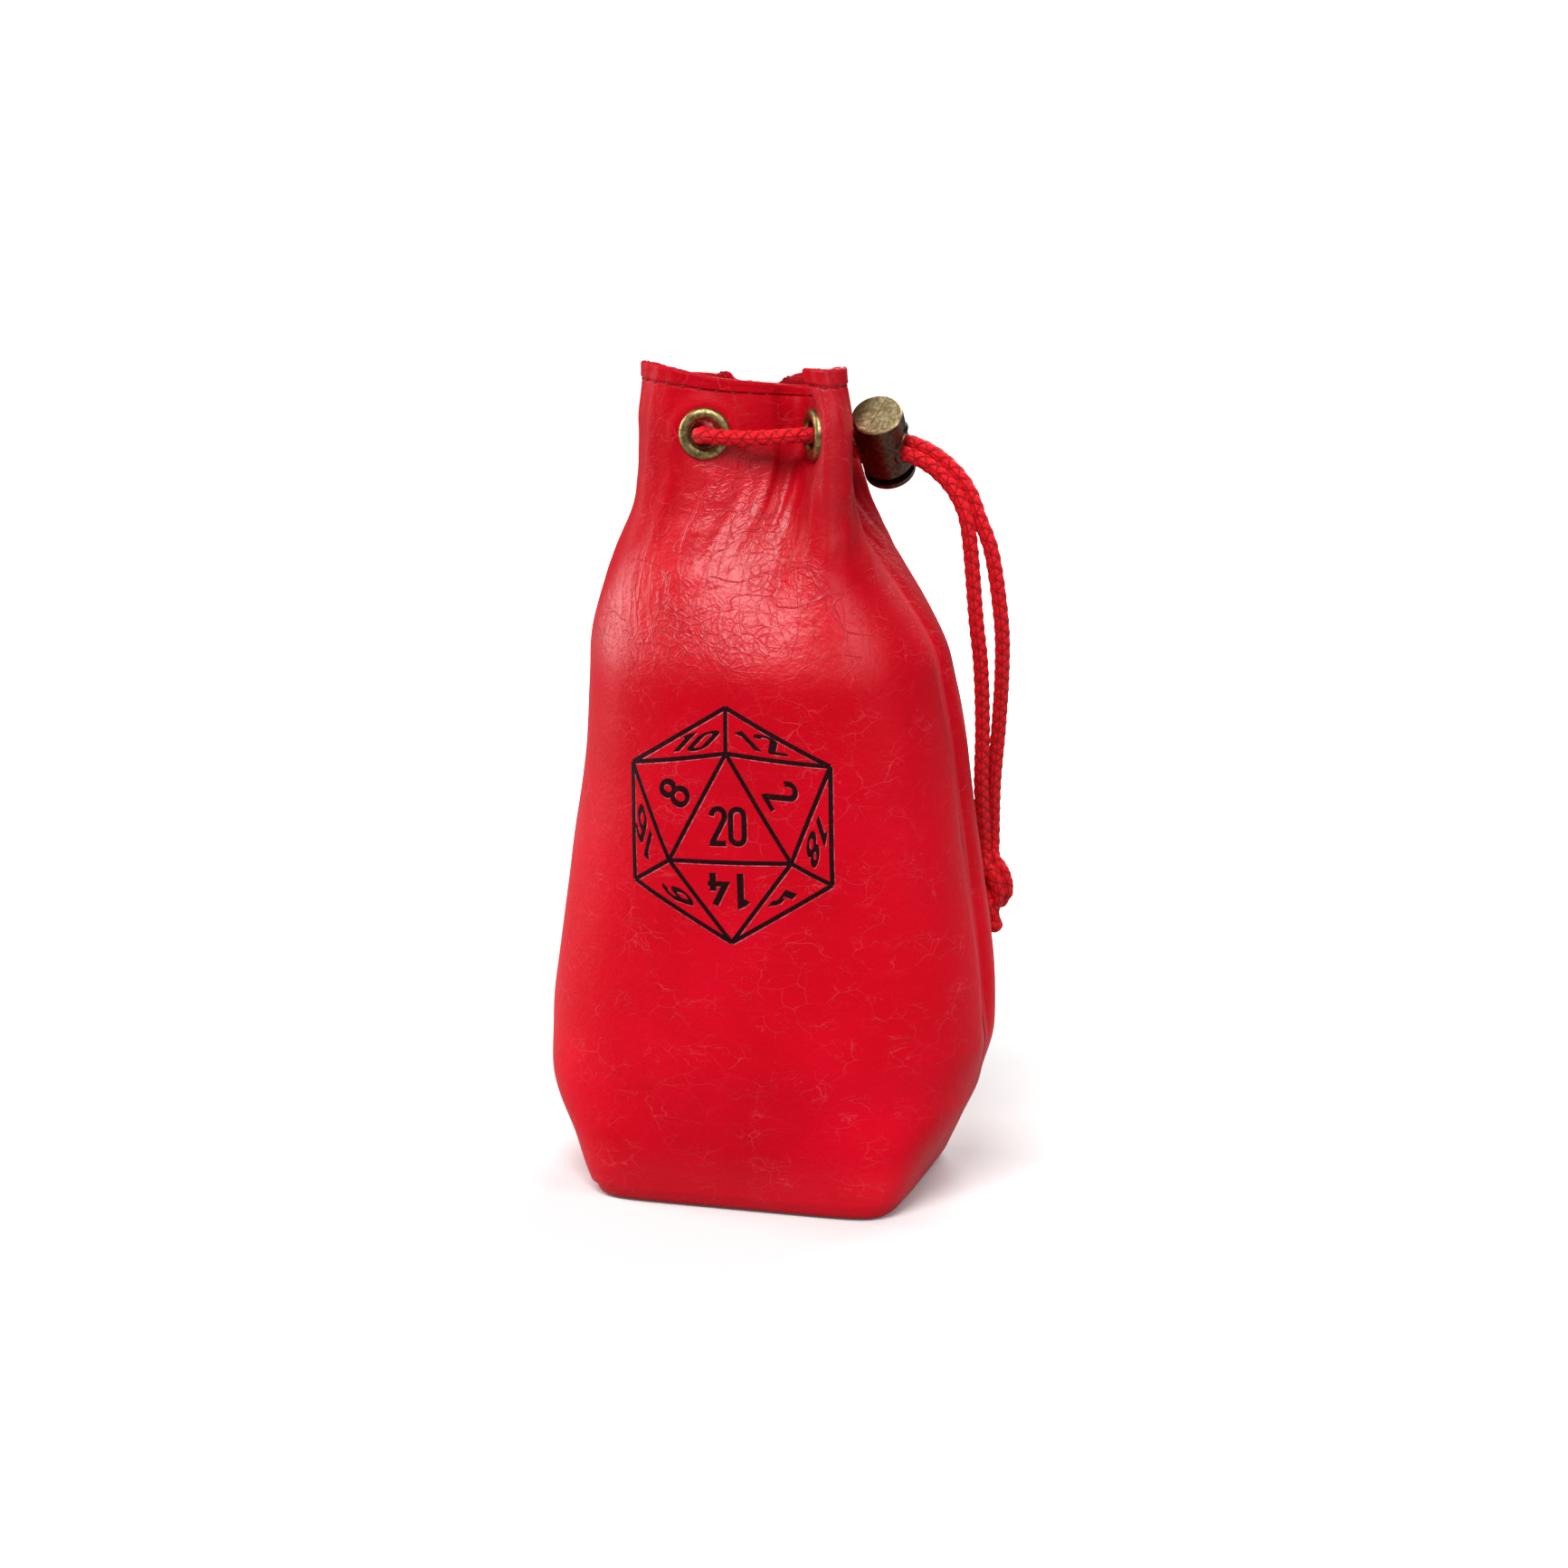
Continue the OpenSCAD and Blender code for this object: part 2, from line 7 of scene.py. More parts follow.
import bpy
import numpy as np
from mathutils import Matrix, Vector


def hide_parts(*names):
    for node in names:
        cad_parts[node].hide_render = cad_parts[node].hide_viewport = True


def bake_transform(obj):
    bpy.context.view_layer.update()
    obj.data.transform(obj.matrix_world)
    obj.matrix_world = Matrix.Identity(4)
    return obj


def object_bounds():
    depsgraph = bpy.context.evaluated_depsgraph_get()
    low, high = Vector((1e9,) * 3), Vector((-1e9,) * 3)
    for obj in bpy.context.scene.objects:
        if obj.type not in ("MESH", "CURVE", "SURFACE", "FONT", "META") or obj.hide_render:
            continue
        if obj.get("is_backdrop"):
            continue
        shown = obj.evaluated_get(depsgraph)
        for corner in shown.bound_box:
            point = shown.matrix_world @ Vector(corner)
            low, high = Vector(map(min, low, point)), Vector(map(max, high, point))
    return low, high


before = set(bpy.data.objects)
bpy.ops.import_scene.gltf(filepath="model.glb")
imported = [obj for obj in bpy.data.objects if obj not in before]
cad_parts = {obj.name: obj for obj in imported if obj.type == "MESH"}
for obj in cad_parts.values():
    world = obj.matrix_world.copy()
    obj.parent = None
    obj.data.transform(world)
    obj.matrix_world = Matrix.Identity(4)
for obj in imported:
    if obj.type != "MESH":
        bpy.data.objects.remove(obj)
cad_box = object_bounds()

# Lengths below are in millimetres; meshes are written in metres.
MM = 0.001
FRONT, BACK = -1, 1
SIDES = {FRONT: "front", BACK: "back"}

# Heights of the rim and of the eyelets' centres
BAG_H, EYE_Z = 152.0, 140.0
# Thickness of leather and lining, and the gap between them
LEATHER_T, LINING_T, GAP = 1.2, 0.8, 0.1
# Eyelet: diameter of the flange, radius of the hole in the leather, depth of the flange's seat
EYE_D, HOLE_R, SEAT = 9.3, 2.9, 0.25
CORD_R = 1.42
# Cord lock: tilt and middle of the barrel, radius of the cords' bend below it, travel of the plunger
LOCK_TILT = math.radians(41.5)
LOCK_AT = np.array([20.6, -1.5, 137.5])
BEND_R, PRESS = 17.0, 1.6
BEND_AT = LOCK_AT - [0, 0, BEND_R]
# Base: place of its middle seam across the bag, radius of its lower edge
BASE_SEAM, BASE_R = 0.6, 1.7
# Hem: height of the folded band, how far it stands out, radius of the fold at its top
HEM_H, HEM_OUT, ROLL_R = 3.0, 0.3, 0.6
# Middle of the hem's stitches
STITCH_Z = BAG_H - HEM_H - 0.15

# Belly outline: height, half width, front depth, back depth, squareness, sideways lean
BELLY = np.array([
    [0, 28.5, 24.7, 24.7, 8, -0.4],
    [10, 34, 26.3, 26.5, 4.2, -1],
    [20, 39.4, 28, 28.6, 2.7, -1.1],
    [30, 41, 29.3, 30.1, 2.4, -0.1],
    [60, 37.6, 30.2, 31, 2.3, 0.4],
    [80, 34.7, 29.8, 30.4, 2.3, 0.5],
    [96, 32.9, 28.4, 29, 2.25, -0.5],
    [106, 31.9, 27, 27.6, 2.2, -1.8],
    [118, 30.7, 25.2, 25.8, 2.2, -2.7],
    [130, 27.6, 21.6, 22, 2.1, -1.9],
    [152, 24, 18, 18.6, 2.1, -1],
])
# Gathered neck seen from above, from the right side seam to the left one
NECK = {
    FRONT: [(2.5, 0), (5.6, -1.2), (9.2, -2.9), (12.8, -4.7), (16, -7.4), (17.4, -11.5), (17.2, -15.8),
            (14.9, -18.6), (12.5, -17), (10.6, -13), (8.8, -9.6), (6.2, -8.9), (2.2, -12.4), (-5, -16.6),
            (-12.5, -17.4), (-19, -15.4), (-22.1, -11.6), (-22.3, -7.8), (-20, -4.8), (-16.6, -3),
            (-13, -1.4), (-10, 0)],
    BACK: [(2.5, 0), (5.6, 1.6), (9, 3.8), (11.6, 7), (11.6, 11.5), (8.6, 15.4), (3, 16.8), (-2, 14.8),
           (-5.4, 10.8), (-7.8, 9.8), (-9.6, 12.6), (-11.8, 16.6), (-14.6, 18.8), (-18.6, 17.4), (-21, 13),
           (-21.8, 8.8), (-19.8, 5.4), (-16.4, 3.6), (-13, 1.6), (-10, 0)],
}
# Eyelets, as shares of the way from the right side seam to the left one
EYES = {FRONT: (0.078, 0.372, 0.624, 0.918), BACK: (0.066, 0.335, 0.552, 0.935)}


# ---- Outline of the bag ----

def smooth(t):
    """0 to 1 with a soft start and end, for t from 0 to 1."""
    s = np.clip(t, 0, 1)
    return s * s * (3 - 2 * s)


def mix(a, b, t):
    return a + (b - a) * t


def curve(z, column):
    """One column of BELLY at height z, as a curve that never overshoots its rows."""
    x, y = BELLY[:, 0], BELLY[:, column]
    slope = np.diff(y) / np.diff(x)
    inner = [0 if a * b <= 0 else 2 * a * b / (a + b) for a, b in zip(slope, slope[1:])]
    m = np.concatenate([slope[:1], inner, slope[-1:]])
    i = int(np.clip(np.searchsorted(x, z, "right") - 1, 0, len(x) - 2))
    h = x[i + 1] - x[i]
    s = (z - x[i]) / h
    return ((1 + 2 * s) * (1 - s) ** 2 * y[i] + s * (1 - s) ** 2 * h * m[i]
            + s * s * (3 - 2 * s) * y[i + 1] + s * s * (s - 1) * h * m[i + 1])


def resample(p, shares):
    """Points at the given shares of the length of the line p."""
    s = np.concatenate([[0], np.cumsum(np.linalg.norm(np.diff(p, axis=0), axis=1))])
    return np.stack([np.interp(np.asarray(shares) * s[-1], s, p[:, k]) for k in range(p.shape[1])], 1)


def spline(p, steps):
    """Catmull-Rom curve through points p."""
    p = np.asarray(p, float)
    x = np.linspace(0, len(p) - 1, steps)
    i = np.minimum(x.astype(int), len(p) - 2)
    t = (x - i)[:, None]
    a, b, c, d = p[np.maximum(i - 1, 0)], p[i], p[i + 1], p[np.minimum(i + 2, len(p) - 1)]
    return 0.5 * (2 * b + (c - a) * t + (2 * a - 5 * b + 4 * c - d) * t * t
                  + (3 * b - a - 3 * c + d) * t ** 3)


def outline(side, z, shares):
    """Outer edge of half the bag at height z, from the right side seam to the left one."""
    angle = np.linspace(0, math.pi, 721)
    width, depth = curve(z, 1), curve(z, 2 if side == FRONT else 3)
    square, lean = curve(z, 4), curve(z, 5)
    c, s = np.cos(angle), np.maximum(np.sin(angle), 0)
    x = lean + width * np.sign(c) * np.abs(c) ** (2 / square)
    belly = resample(np.stack([x, side * depth * s ** (2 / square)], 1), shares)
    # the side seams pull the belly in
    crease = 2.2 * smooth((z - 20) / 20) * (1 - smooth((z - 106) / 24))
    belly[:, 0] -= np.sign(belly[:, 0]) * crease * np.exp(-(belly[:, 1] / 3.5) ** 2)
    neck = resample(spline(NECK[side], 800), shares)
    return mix(belly, neck, smooth((z - 98) / 46))


def rim_dip(x, y):
    """How far the rim is below its highest points: in the middle of the front, and all along the back."""
    middle = 3.6 * smooth((x + 24) / 32) * (1 - smooth((x - 9) / 3)) * smooth(-y / 4 - 1)
    return middle + 3.5 * smooth((y + 12) / 14)


def eye_frame(side, share):
    """Centre of an eyelet on the leather and the direction out of the bag."""
    # as many facets as the CAD's outline has, which the CAD's eyelets stand on
    cols = 44
    p = outline(side, EYE_Z, np.arange(cols + 1) / cols)
    i = int(share * cols)
    q = mix(p[i], p[i + 1], share * cols - i)
    d = p[min(i + 3, cols)] - p[max(i - 2, 0)]
    n = side * np.array([d[1], -d[0]]) / np.linalg.norm(d)
    return np.array([q[0], q[1], EYE_Z]), np.array([n[0], n[1], 0.0])


EYE_FRAMES = {side: [eye_frame(side, share) for share in EYES[side]] for side in SIDES}


def neck_tilt(z):
    """1 where the leather tilts with the mouth, 0 where it stays with the bag."""
    return smooth((z - 91) / 26)


# ---- Noise ----

def noise(u, v, seed):
    """Smooth repeatable noise from -1 to 1 with a cell of one unit."""
    table = np.random.default_rng(seed).uniform(-1, 1, (97, 89))
    iu, iv = np.floor(u).astype(int), np.floor(v).astype(int)
    fu, fv = smooth(u - iu), smooth(v - iv)
    at = lambda i, j: table[(iu + i) % 97, (iv + j) % 89]
    return mix(mix(at(0, 0), at(1, 0), fu), mix(at(0, 1), at(1, 1), fu), fv)


# ---- The soft shell as a grid of points ----

# Columns of the grid, steps between its rows on the wall and near the rim, and where the finer rows start
COLUMNS = 240
WALL_STEP, RIM_STEP, RIM_FROM = 0.7, 0.25, 148
# Height that marks the points under the base
UNDER = -0.1
# Both halves keep this far from the plane through the side seams
SEAM_GAP = 0.02


def unit(v):
    return v / np.maximum(np.linalg.norm(v, axis=-1, keepdims=True), 1e-9)


def normals(grid, side):
    du = np.gradient(grid, axis=1)
    dv = np.gradient(grid, axis=0)
    return unit(side * np.cross(du, dv))


def plan_normals(p, side):
    d = np.gradient(p, axis=0)
    return unit(np.stack([d[:, 1], -d[:, 0]], 1) * side)


def gauss(x, y, at, spread):
    """1 at the point at, falling to 0 around it."""
    return np.exp(-((x - at[0]) ** 2 + (y - at[1]) ** 2) / spread)


class Shell:
    """One half of the bag: its outer surface, the direction out of it, and what each point of it carries."""

    def __init__(self, side):
        self.side = side
        self.shares = np.linspace(0, 1, COLUMNS + 1)
        rows = self.base_rows() + self.wall_rows()
        plain = np.stack([points for points, _, _ in rows])
        every = np.ones(COLUMNS + 1)
        self.z = np.array([z for _, z, _ in rows])[:, None] * every
        self.roll = np.array([roll for _, _, roll in rows])[:, None] * every
        step = np.linalg.norm(np.diff(plain, axis=1), axis=2)
        along = np.concatenate([np.zeros((len(rows), 1)), np.cumsum(step, axis=1)], 1)
        self.whole = along[:, -1:]
        self.seam = np.minimum(along, self.whole - along)
        self.arc = along - self.whole / 2
        self.grid = plain + normals(plain, side) * self.wrinkles(plain)[:, :, None]
        self.cells = np.ones((len(rows) - 1, COLUMNS), bool)
        for share, (centre, out) in zip(EYES[side], EYE_FRAMES[side]):
            self.seat(share, centre, out)
        self.out = normals(self.grid, side)
        self.pin_seams()

    def base_rows(self):
        """Points, height and inward roll of the rows under the base and round its lower edge."""
        base = outline(self.side, 0, self.shares)
        out = plan_normals(base, self.side)
        foot = base - out * BASE_R
        foot[:, 1] = self.side * np.maximum(self.side * foot[:, 1], 0)
        seam = np.stack([foot[:, 0] * 0.985, np.full(len(foot), BASE_SEAM)], 1)
        rows = [(np.column_stack([mix(seam, foot, share), np.zeros(len(foot))]), UNDER, 0)
                for share in (0, 0.12, 0.25, 0.4, 0.55, 0.7, 0.85, 0.95)]
        for phi in np.radians([0, 22, 45, 68, 90]):
            z = BASE_R * (1 - math.cos(phi))
            edge = base - out * BASE_R * (1 - math.sin(phi))
            rows.append((np.column_stack([edge, np.full(len(base), z)]), z, 0))
        return rows

    def wall_rows(self):
        """Points, height and inward roll of the rows up the wall and over the fold at the rim."""
        top = BAG_H - ROLL_R
        heights = np.concatenate([np.arange(BASE_R + WALL_STEP, RIM_FROM, WALL_STEP),
                                  np.arange(RIM_FROM, top, RIM_STEP), [top]])
        rows = [(self.wall_row(z, 0), z, 0) for z in heights]
        for psi in np.radians([22, 45, 65, 82]):
            lift = ROLL_R * math.sin(psi)
            rows.append((self.wall_row(top, lift), top + lift, ROLL_R * (1 - math.cos(psi))))
        return rows

    def wall_row(self, z, lift):
        """The outline at height z; the rows below the rim are drawn closer where the rim dips."""
        p = outline(self.side, z, self.shares)
        dip = rim_dip(p[:, 0], p[:, 1])
        up = smooth((z - 143) / 9)
        if self.side == FRONT:
            reach = 8
            # the right fold spreads to the left
            p[:, 0] -= 3.2 * up * gauss(p[:, 0], p[:, 1], (12.5, -17), 11)
        else:
            reach = 16
            # the rim dips further between the eyelets
            eyes = np.array([centre[:2] for centre, _ in EYE_FRAMES[BACK]])
            near = np.exp(-(np.linalg.norm(p[:, None] - eyes, axis=2).min(1) / 6) ** 2)
            dip = dip + 3.2 * smooth((p[:, 1] - 3) / 4) * (1 - near)
            # the right corner is drawn in, and the whole wall leans over the mouth
            p[:, 0] -= 2 * smooth((z - 130) / 12) * gauss(p[:, 0], p[:, 1], (12.5, 10.5), 18)
            p[:, 1] -= 0.45 * up * np.maximum(p[:, 1] - 2, 0)
        return np.column_stack([p, z + lift - dip * smooth((z - BAG_H + reach) / reach)])

    def wrinkles(self, p):
        """How far the leather stands out from the plain outline."""
        u, z, seed = self.arc, self.z, 10 * (self.side + 2)
        off_seam = smooth(self.seam / 5)
        wall = smooth((z - 2) / 10) * off_seam
        neck = smooth((z - 104) / 22) * off_seam
        gather = smooth((z - 112) / 20) * (1 - 0.4 * smooth((z - 140) / 8)) * off_seam
        lumps = 0.42 * noise(u / 19 + 3, z / 23, seed + 1) + 0.16 * noise(u / 8, z / 11, seed + 2)
        warp = noise(u / 14, z / 26, seed + 3)
        pleats = 0.30 * np.sin(2 * math.pi * (u / 8.2 + 0.55 * warp))
        pleats = pleats + 0.12 * np.sin(2 * math.pi * (u / 3.4 + 1.1 * warp))
        slack = np.abs(noise(u / 9 + z / 16, z / 7, seed + 4)) * 0.34
        dent = np.abs(noise(u / 4.6 - z / 9, z / 3.8 + 5, seed + 5)) * 0.13
        d = lumps * wall + pleats * gather - (slack + dent) * neck * (1 - smooth((z - 138) / 6))
        # the leather is calm round the eyelets
        for centre, _ in EYE_FRAMES[self.side]:
            d = d * (0.1 + 0.9 * smooth((np.linalg.norm(p - centre, axis=2) - 5) / 6))
        hem = smooth((z - BAG_H + HEM_H + 0.35) / 0.5)
        band = HEM_OUT * hem + 0.10 * hem * noise(u / 2.6, z / 9, seed + 6)
        groove = -0.28 * np.exp(-((z - STITCH_Z) / 0.3) ** 2)
        lean = -1.3 * smooth((z - 140) / 11) * smooth(self.seam / 4)
        return d + (band + groove) * smooth(self.seam / 1.5) + lean - self.roll

    def seat(self, share, centre, out):
        """The leather lies flat under an eyelet's flange and has a round hole through it."""
        row = int(np.argmin(np.abs(self.z[:, 0] - EYE_Z)))
        beside = np.abs(self.arc - (share - 0.5) * self.whole[row]) < 8
        u = np.array([-out[1], out[0], 0])
        q = self.grid - centre
        h, a, b = q @ out, q @ u, q[:, :, 2]
        r = np.hypot(a, b)
        near = (np.abs(h) < 4.5) & (r < 8.5) & beside
        flat = np.where(near, 1 - smooth((r - EYE_D / 2 - 0.1) / 2.6), 0)
        flat = flat * (1 - smooth((np.abs(h) - 2.2) / 2.3))
        self.grid += (flat * (-SEAT - h))[:, :, None] * out
        inside = near & (r < HOLE_R)
        cut = inside[:-1, :-1] | inside[1:, :-1] | inside[:-1, 1:] | inside[1:, 1:]
        self.cells &= ~cut
        # the points round the hole are pulled onto a circle
        touched = np.zeros(self.z.shape, bool)
        for i, j in ((0, 0), (1, 0), (0, 1), (1, 1)):
            touched[i:touched.shape[0] - 1 + i, j:touched.shape[1] - 1 + j] |= cut
        snap = near & (r >= HOLE_R) & (r < HOLE_R + 1.1) & touched
        scale = np.where(snap, (HOLE_R + 0.12) / np.maximum(r, 1e-6) - 1, 0)
        self.grid += (a * scale)[:, :, None] * u + (b * scale)[:, :, None] * np.array([0, 0, 1.0])

    def pin_seams(self):
        """The edges of both halves meet at the side seams."""
        for edge, beside in ((0, 1), (-1, -2)):
            y = self.grid[:, edge, 1]
            self.grid[:, edge, 1] = np.where(self.z[:, edge] < 0, y, self.side * SEAM_GAP)
            self.out[:, edge] = self.out[:, beside]
        self.out[self.z < 0] = (0, 0, -1)

    def layer(self, depth):
        """The surface at a depth below the leather's outer face."""
        p = self.grid - self.out * depth
        y = self.side * np.maximum(self.side * p[:, :, 1], SEAM_GAP)
        p[:, :, 1] = np.where(self.z >= 0, y, p[:, :, 1])
        return p

    def weights(self):
        """1 where the leather tilts with the mouth, 0 at the side seams and below."""
        reach = mix(14, 3, smooth((self.z - 104) / 22))
        return neck_tilt(self.z) * smooth(self.seam / reach)


# ---- Meshes ----

def new_object(name, verts, faces, shade=True):
    mesh = bpy.data.meshes.new(name)
    mesh.from_pydata((np.asarray(verts) * MM).tolist(), [], faces)
    mesh.validate()
    mesh.update()
    if shade:
        mesh.polygons.foreach_set("use_smooth", [True] * len(mesh.polygons))
    obj = bpy.data.objects.new(name, mesh)
    bpy.context.scene.collection.objects.link(obj)
    return obj


def set_vector(obj, name, values):
    attribute = obj.data.attributes.new(name, "FLOAT_VECTOR", "POINT")
    attribute.data.foreach_set("vector", np.asarray(values, np.float32).ravel())


def set_value(obj, name, values):
    attribute = obj.data.attributes.new(name, "FLOAT", "POINT")
    attribute.data.foreach_set("value", np.asarray(values, np.float32).ravel())


def bend(obj, weights):
    """Bakes obj's transform into its mesh; weights is not used."""
    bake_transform(obj)


def closed_faces(cells, turned):
    """Faces of both layers of a grid and of the walls between them, round its edge and its holes."""
    rows, cols = cells.shape[0] + 1, cells.shape[1] + 1
    half = rows * cols
    r, c = np.nonzero(cells)
    i = r * cols + c
    quads = np.stack([i, i + 1, i + cols + 1, i + cols], 1)
    if turned:
        quads = quads[:, ::-1]
    edges = np.concatenate([quads[:, [k, (k + 1) % 4]] for k in range(4)])
    key = np.sort(edges, axis=1)
    key = key[:, 0] * half + key[:, 1]
    _, index, count = np.unique(key, return_index=True, return_counts=True)
    rim = edges[index[count == 1]]
    walls = np.stack([rim[:, 1], rim[:, 0], rim[:, 0] + half, rim[:, 1] + half], 1)
    return np.concatenate([quads, quads[:, ::-1] + half, walls])


def sheet(name, shell, outer, inner):
    """A closed sheet between two layers of a shell, open at the eyelets' holes."""
    faces = closed_faces(shell.cells, shell.side == BACK)
    used, flat = np.unique(faces, return_inverse=True)
    verts = np.concatenate([outer.reshape(-1, 3), inner.reshape(-1, 3)])[used]
    obj = new_object(name, verts, flat.reshape(-1, 4).tolist())
    pick = lambda a: np.concatenate([a.ravel(), a.ravel()])[used]
    x, y, z = verts[:, 0], verts[:, 1], pick(shell.z)
    set_vector(obj, "cloth", np.stack([pick(shell.arc) + 200 * (shell.side + 1), z, np.zeros(len(z))], 1))
    # the shoulder is creased and glossy, with painted shade in its creases; the neck's right fold and the
    # foot are only a little glossy
    reach = mix(33, 13, smooth((z - 100) / 34))
    shoulder = smooth((z - 92) / 15) * (1 - smooth((z - 134) / 9)) * smooth((reach - np.abs(x + 3)) / 10)
    fold = 0.55 * gauss(x, y, (15, -18), 14) * smooth((z - 112) / 12)
    foot = 0.4 * (1 - smooth((z - 5) / 10))
    set_value(obj, "shoulder", shoulder)
    set_value(obj, "gloss", np.maximum(np.maximum(shoulder, fold), foot))
    # painted shade: 'neck' darkens the leather from low on the wall up to the neck, less on the shoulder
    set_value(obj, "neck", smooth((z - 25) / 100) * (1 - 0.55 * shoulder))
    set_value(obj, "edge", pick(smooth(1 - shell.seam / 5)))
    bend(obj, pick(shell.weights()))
    return obj


# ---- Materials ----

class Nodes:
    """Short names for building a node material."""

    def __init__(self, name):
        self.mat = bpy.data.materials.new(name)
        self.mat.use_nodes = True
        self.tree = self.mat.node_tree
        self.tree.nodes.clear()
        self.bsdf = self.tree.nodes.new("ShaderNodeBsdfPrincipled")
        out = self.tree.nodes.new("ShaderNodeOutputMaterial")
        self.tree.links.new(self.bsdf.outputs[0], out.inputs["Surface"])

    def put(self, socket, value):
        if isinstance(value, bpy.types.NodeSocket):
            self.tree.links.new(value, socket)
        elif isinstance(value, (tuple, list)) and len(value) == 3 and socket.type == "RGBA":
            socket.default_value = (*value, 1)
        else:
            socket.default_value = value

    def set(self, **values):
        for name, value in values.items():
            self.put(self.bsdf.inputs[name.replace("_", " ")], value)
        return self.mat

    def node(self, kind, inputs=None, **props):
        n = self.tree.nodes.new("ShaderNode" + kind)
        for key, value in props.items():
            setattr(n, key, value)
        for key, value in (inputs or {}).items():
            self.put(n.inputs[key], value)
        return n

    def vector(self, name):
        return self.node("Attribute", attribute_name=name).outputs["Vector"]

    def value(self, name):
        return self.node("Attribute", attribute_name=name).outputs["Fac"]

    def millimetres(self):
        """Object coordinates in millimetres."""
        return self.place(self.node("TexCoord").outputs["Object"], 1 / MM)

    def place(self, vector, scale, rotation=(0, 0, 0), location=(0, 0, 0)):
        scale = (scale,) * 3 if isinstance(scale, (int, float)) else scale
        return self.node("Mapping", {"Vector": vector, "Scale": scale, "Rotation": rotation,
                                     "Location": location}).outputs[0]

    def noise(self, vector, scale, detail=2.0, rough=0.5, distortion=0.0):
        return self.node("TexNoise", {"Vector": vector, "Scale": scale, "Detail": detail, "Roughness": rough,
                                      "Distortion": distortion}).outputs["Fac"]

    def voronoi(self, vector, scale, feature):
        inputs = {"Vector": vector, "Scale": scale}
        return self.node("TexVoronoi", inputs, feature=feature).outputs["Distance"]

    def math(self, operation, a, b=0.0):
        return self.node("Math", {0: a, 1: b}, operation=operation).outputs[0]

    def add(self, a, b):
        return self.math("ADD", a, b)

    def subtract(self, a, b):
        return self.math("SUBTRACT", a, b)

    def times(self, a, b):
        return self.math("MULTIPLY", a, b)

    def most(self, a, b):
        return self.math("MAXIMUM", a, b)

    def ramp(self, value, low, high, a=0.0, b=1.0):
        inputs = {"Value": value, "From Min": low, "From Max": high, "To Min": a, "To Max": b}
        return self.node("MapRange", inputs, interpolation_type="SMOOTHSTEP").outputs[0]

    def blend(self, fac, a, b):
        n = self.node("Mix", data_type="RGBA")
        self.put(n.inputs[0], fac)
        self.put(n.inputs[6], a)
        self.put(n.inputs[7], b)
        return n.outputs[2]

    def bump(self, height, distance, strength=1.0):
        inputs = {"Height": height, "Distance": distance * MM, "Strength": strength}
        return self.node("Bump", inputs).outputs[0]

    def warp(self, vector, scale, amount):
        """vector shifted by soft noise, so that patterns on it aren't straight."""
        colour = self.node("TexNoise", {"Vector": vector, "Scale": scale, "Detail": 2.0}).outputs["Color"]
        centred = self.node("VectorMath", {0: colour, 1: (0.5, 0.5, 0.5)}, operation="SUBTRACT").outputs[0]
        scaled = self.node("VectorMath", {0: centred, "Scale": amount}, operation="SCALE").outputs[0]
        return self.node("VectorMath", {0: vector, 1: scaled}, operation="ADD").outputs[0]

    def hairline(self, value, width):
        """1 on thin lines where value crosses one half."""
        return self.ramp(self.math("ABSOLUTE", self.subtract(value, 0.5)), 0, width, 1, 0)

    def net(self, vector, scale, width):
        """1 on the thin lines between cells."""
        return self.ramp(self.voronoi(vector, scale, "DISTANCE_TO_EDGE"), 0, width, 1, 0)


def crease_shade(g, p, shoulder):
    """Painted shade where the leather is drawn together: a net, a finer net, long creases and upright ones.
    """
    patch = g.noise(g.place(p, 1, location=(40, 7, 3)), 0.07, 3)
    where = g.times(shoulder, g.ramp(patch, 0.36, 0.6))
    coarse = g.net(g.warp(g.place(p, (0.75, 1, 1)), 0.22, 3.4), 0.62, 0.13)
    fine = g.net(g.warp(p, 0.5, 1.5), 1.25, 0.12)
    slanted = g.place(p, (1, 1.9, 1), rotation=(0, 0, 0.5))
    long_crease = g.hairline(g.noise(slanted, 0.055, 2, 0.5, 0.6), 0.011)
    upright = g.hairline(g.noise(g.place(p, (1, 0.22, 1)), 0.28, 2, 0.5, 0.5), 0.035)
    dark = g.most(g.times(coarse, where), g.times(long_crease, shoulder))
    dark = g.most(dark, g.times(fine, g.times(where, 0.3)))
    return g.most(dark, g.times(upright, g.times(shoulder, 0.6)))


def hair_highlights(g, p, shoulder):
    """Thin lines of painted highlight in patches, fewer of them on the shoulder."""
    slanted = g.place(p, (0.7, 1.5, 1), rotation=(0, 0, -0.35))
    hair = g.hairline(g.noise(slanted, 0.12, 4, 0.62, 1.2), 0.008)
    crossed = g.place(p, (0.8, 1.2, 1), rotation=(0, 0, 0.6))
    crossing = g.net(g.warp(crossed, 0.15, 6), 0.2, 0.018)
    patches = g.ramp(g.noise(g.place(p, 1, location=(9, 90, 1)), 0.16, 3), 0.40, 0.66)
    pale = g.times(g.most(hair, crossing), patches)
    return g.times(pale, g.subtract(1.0, g.times(shoulder, 0.7)))


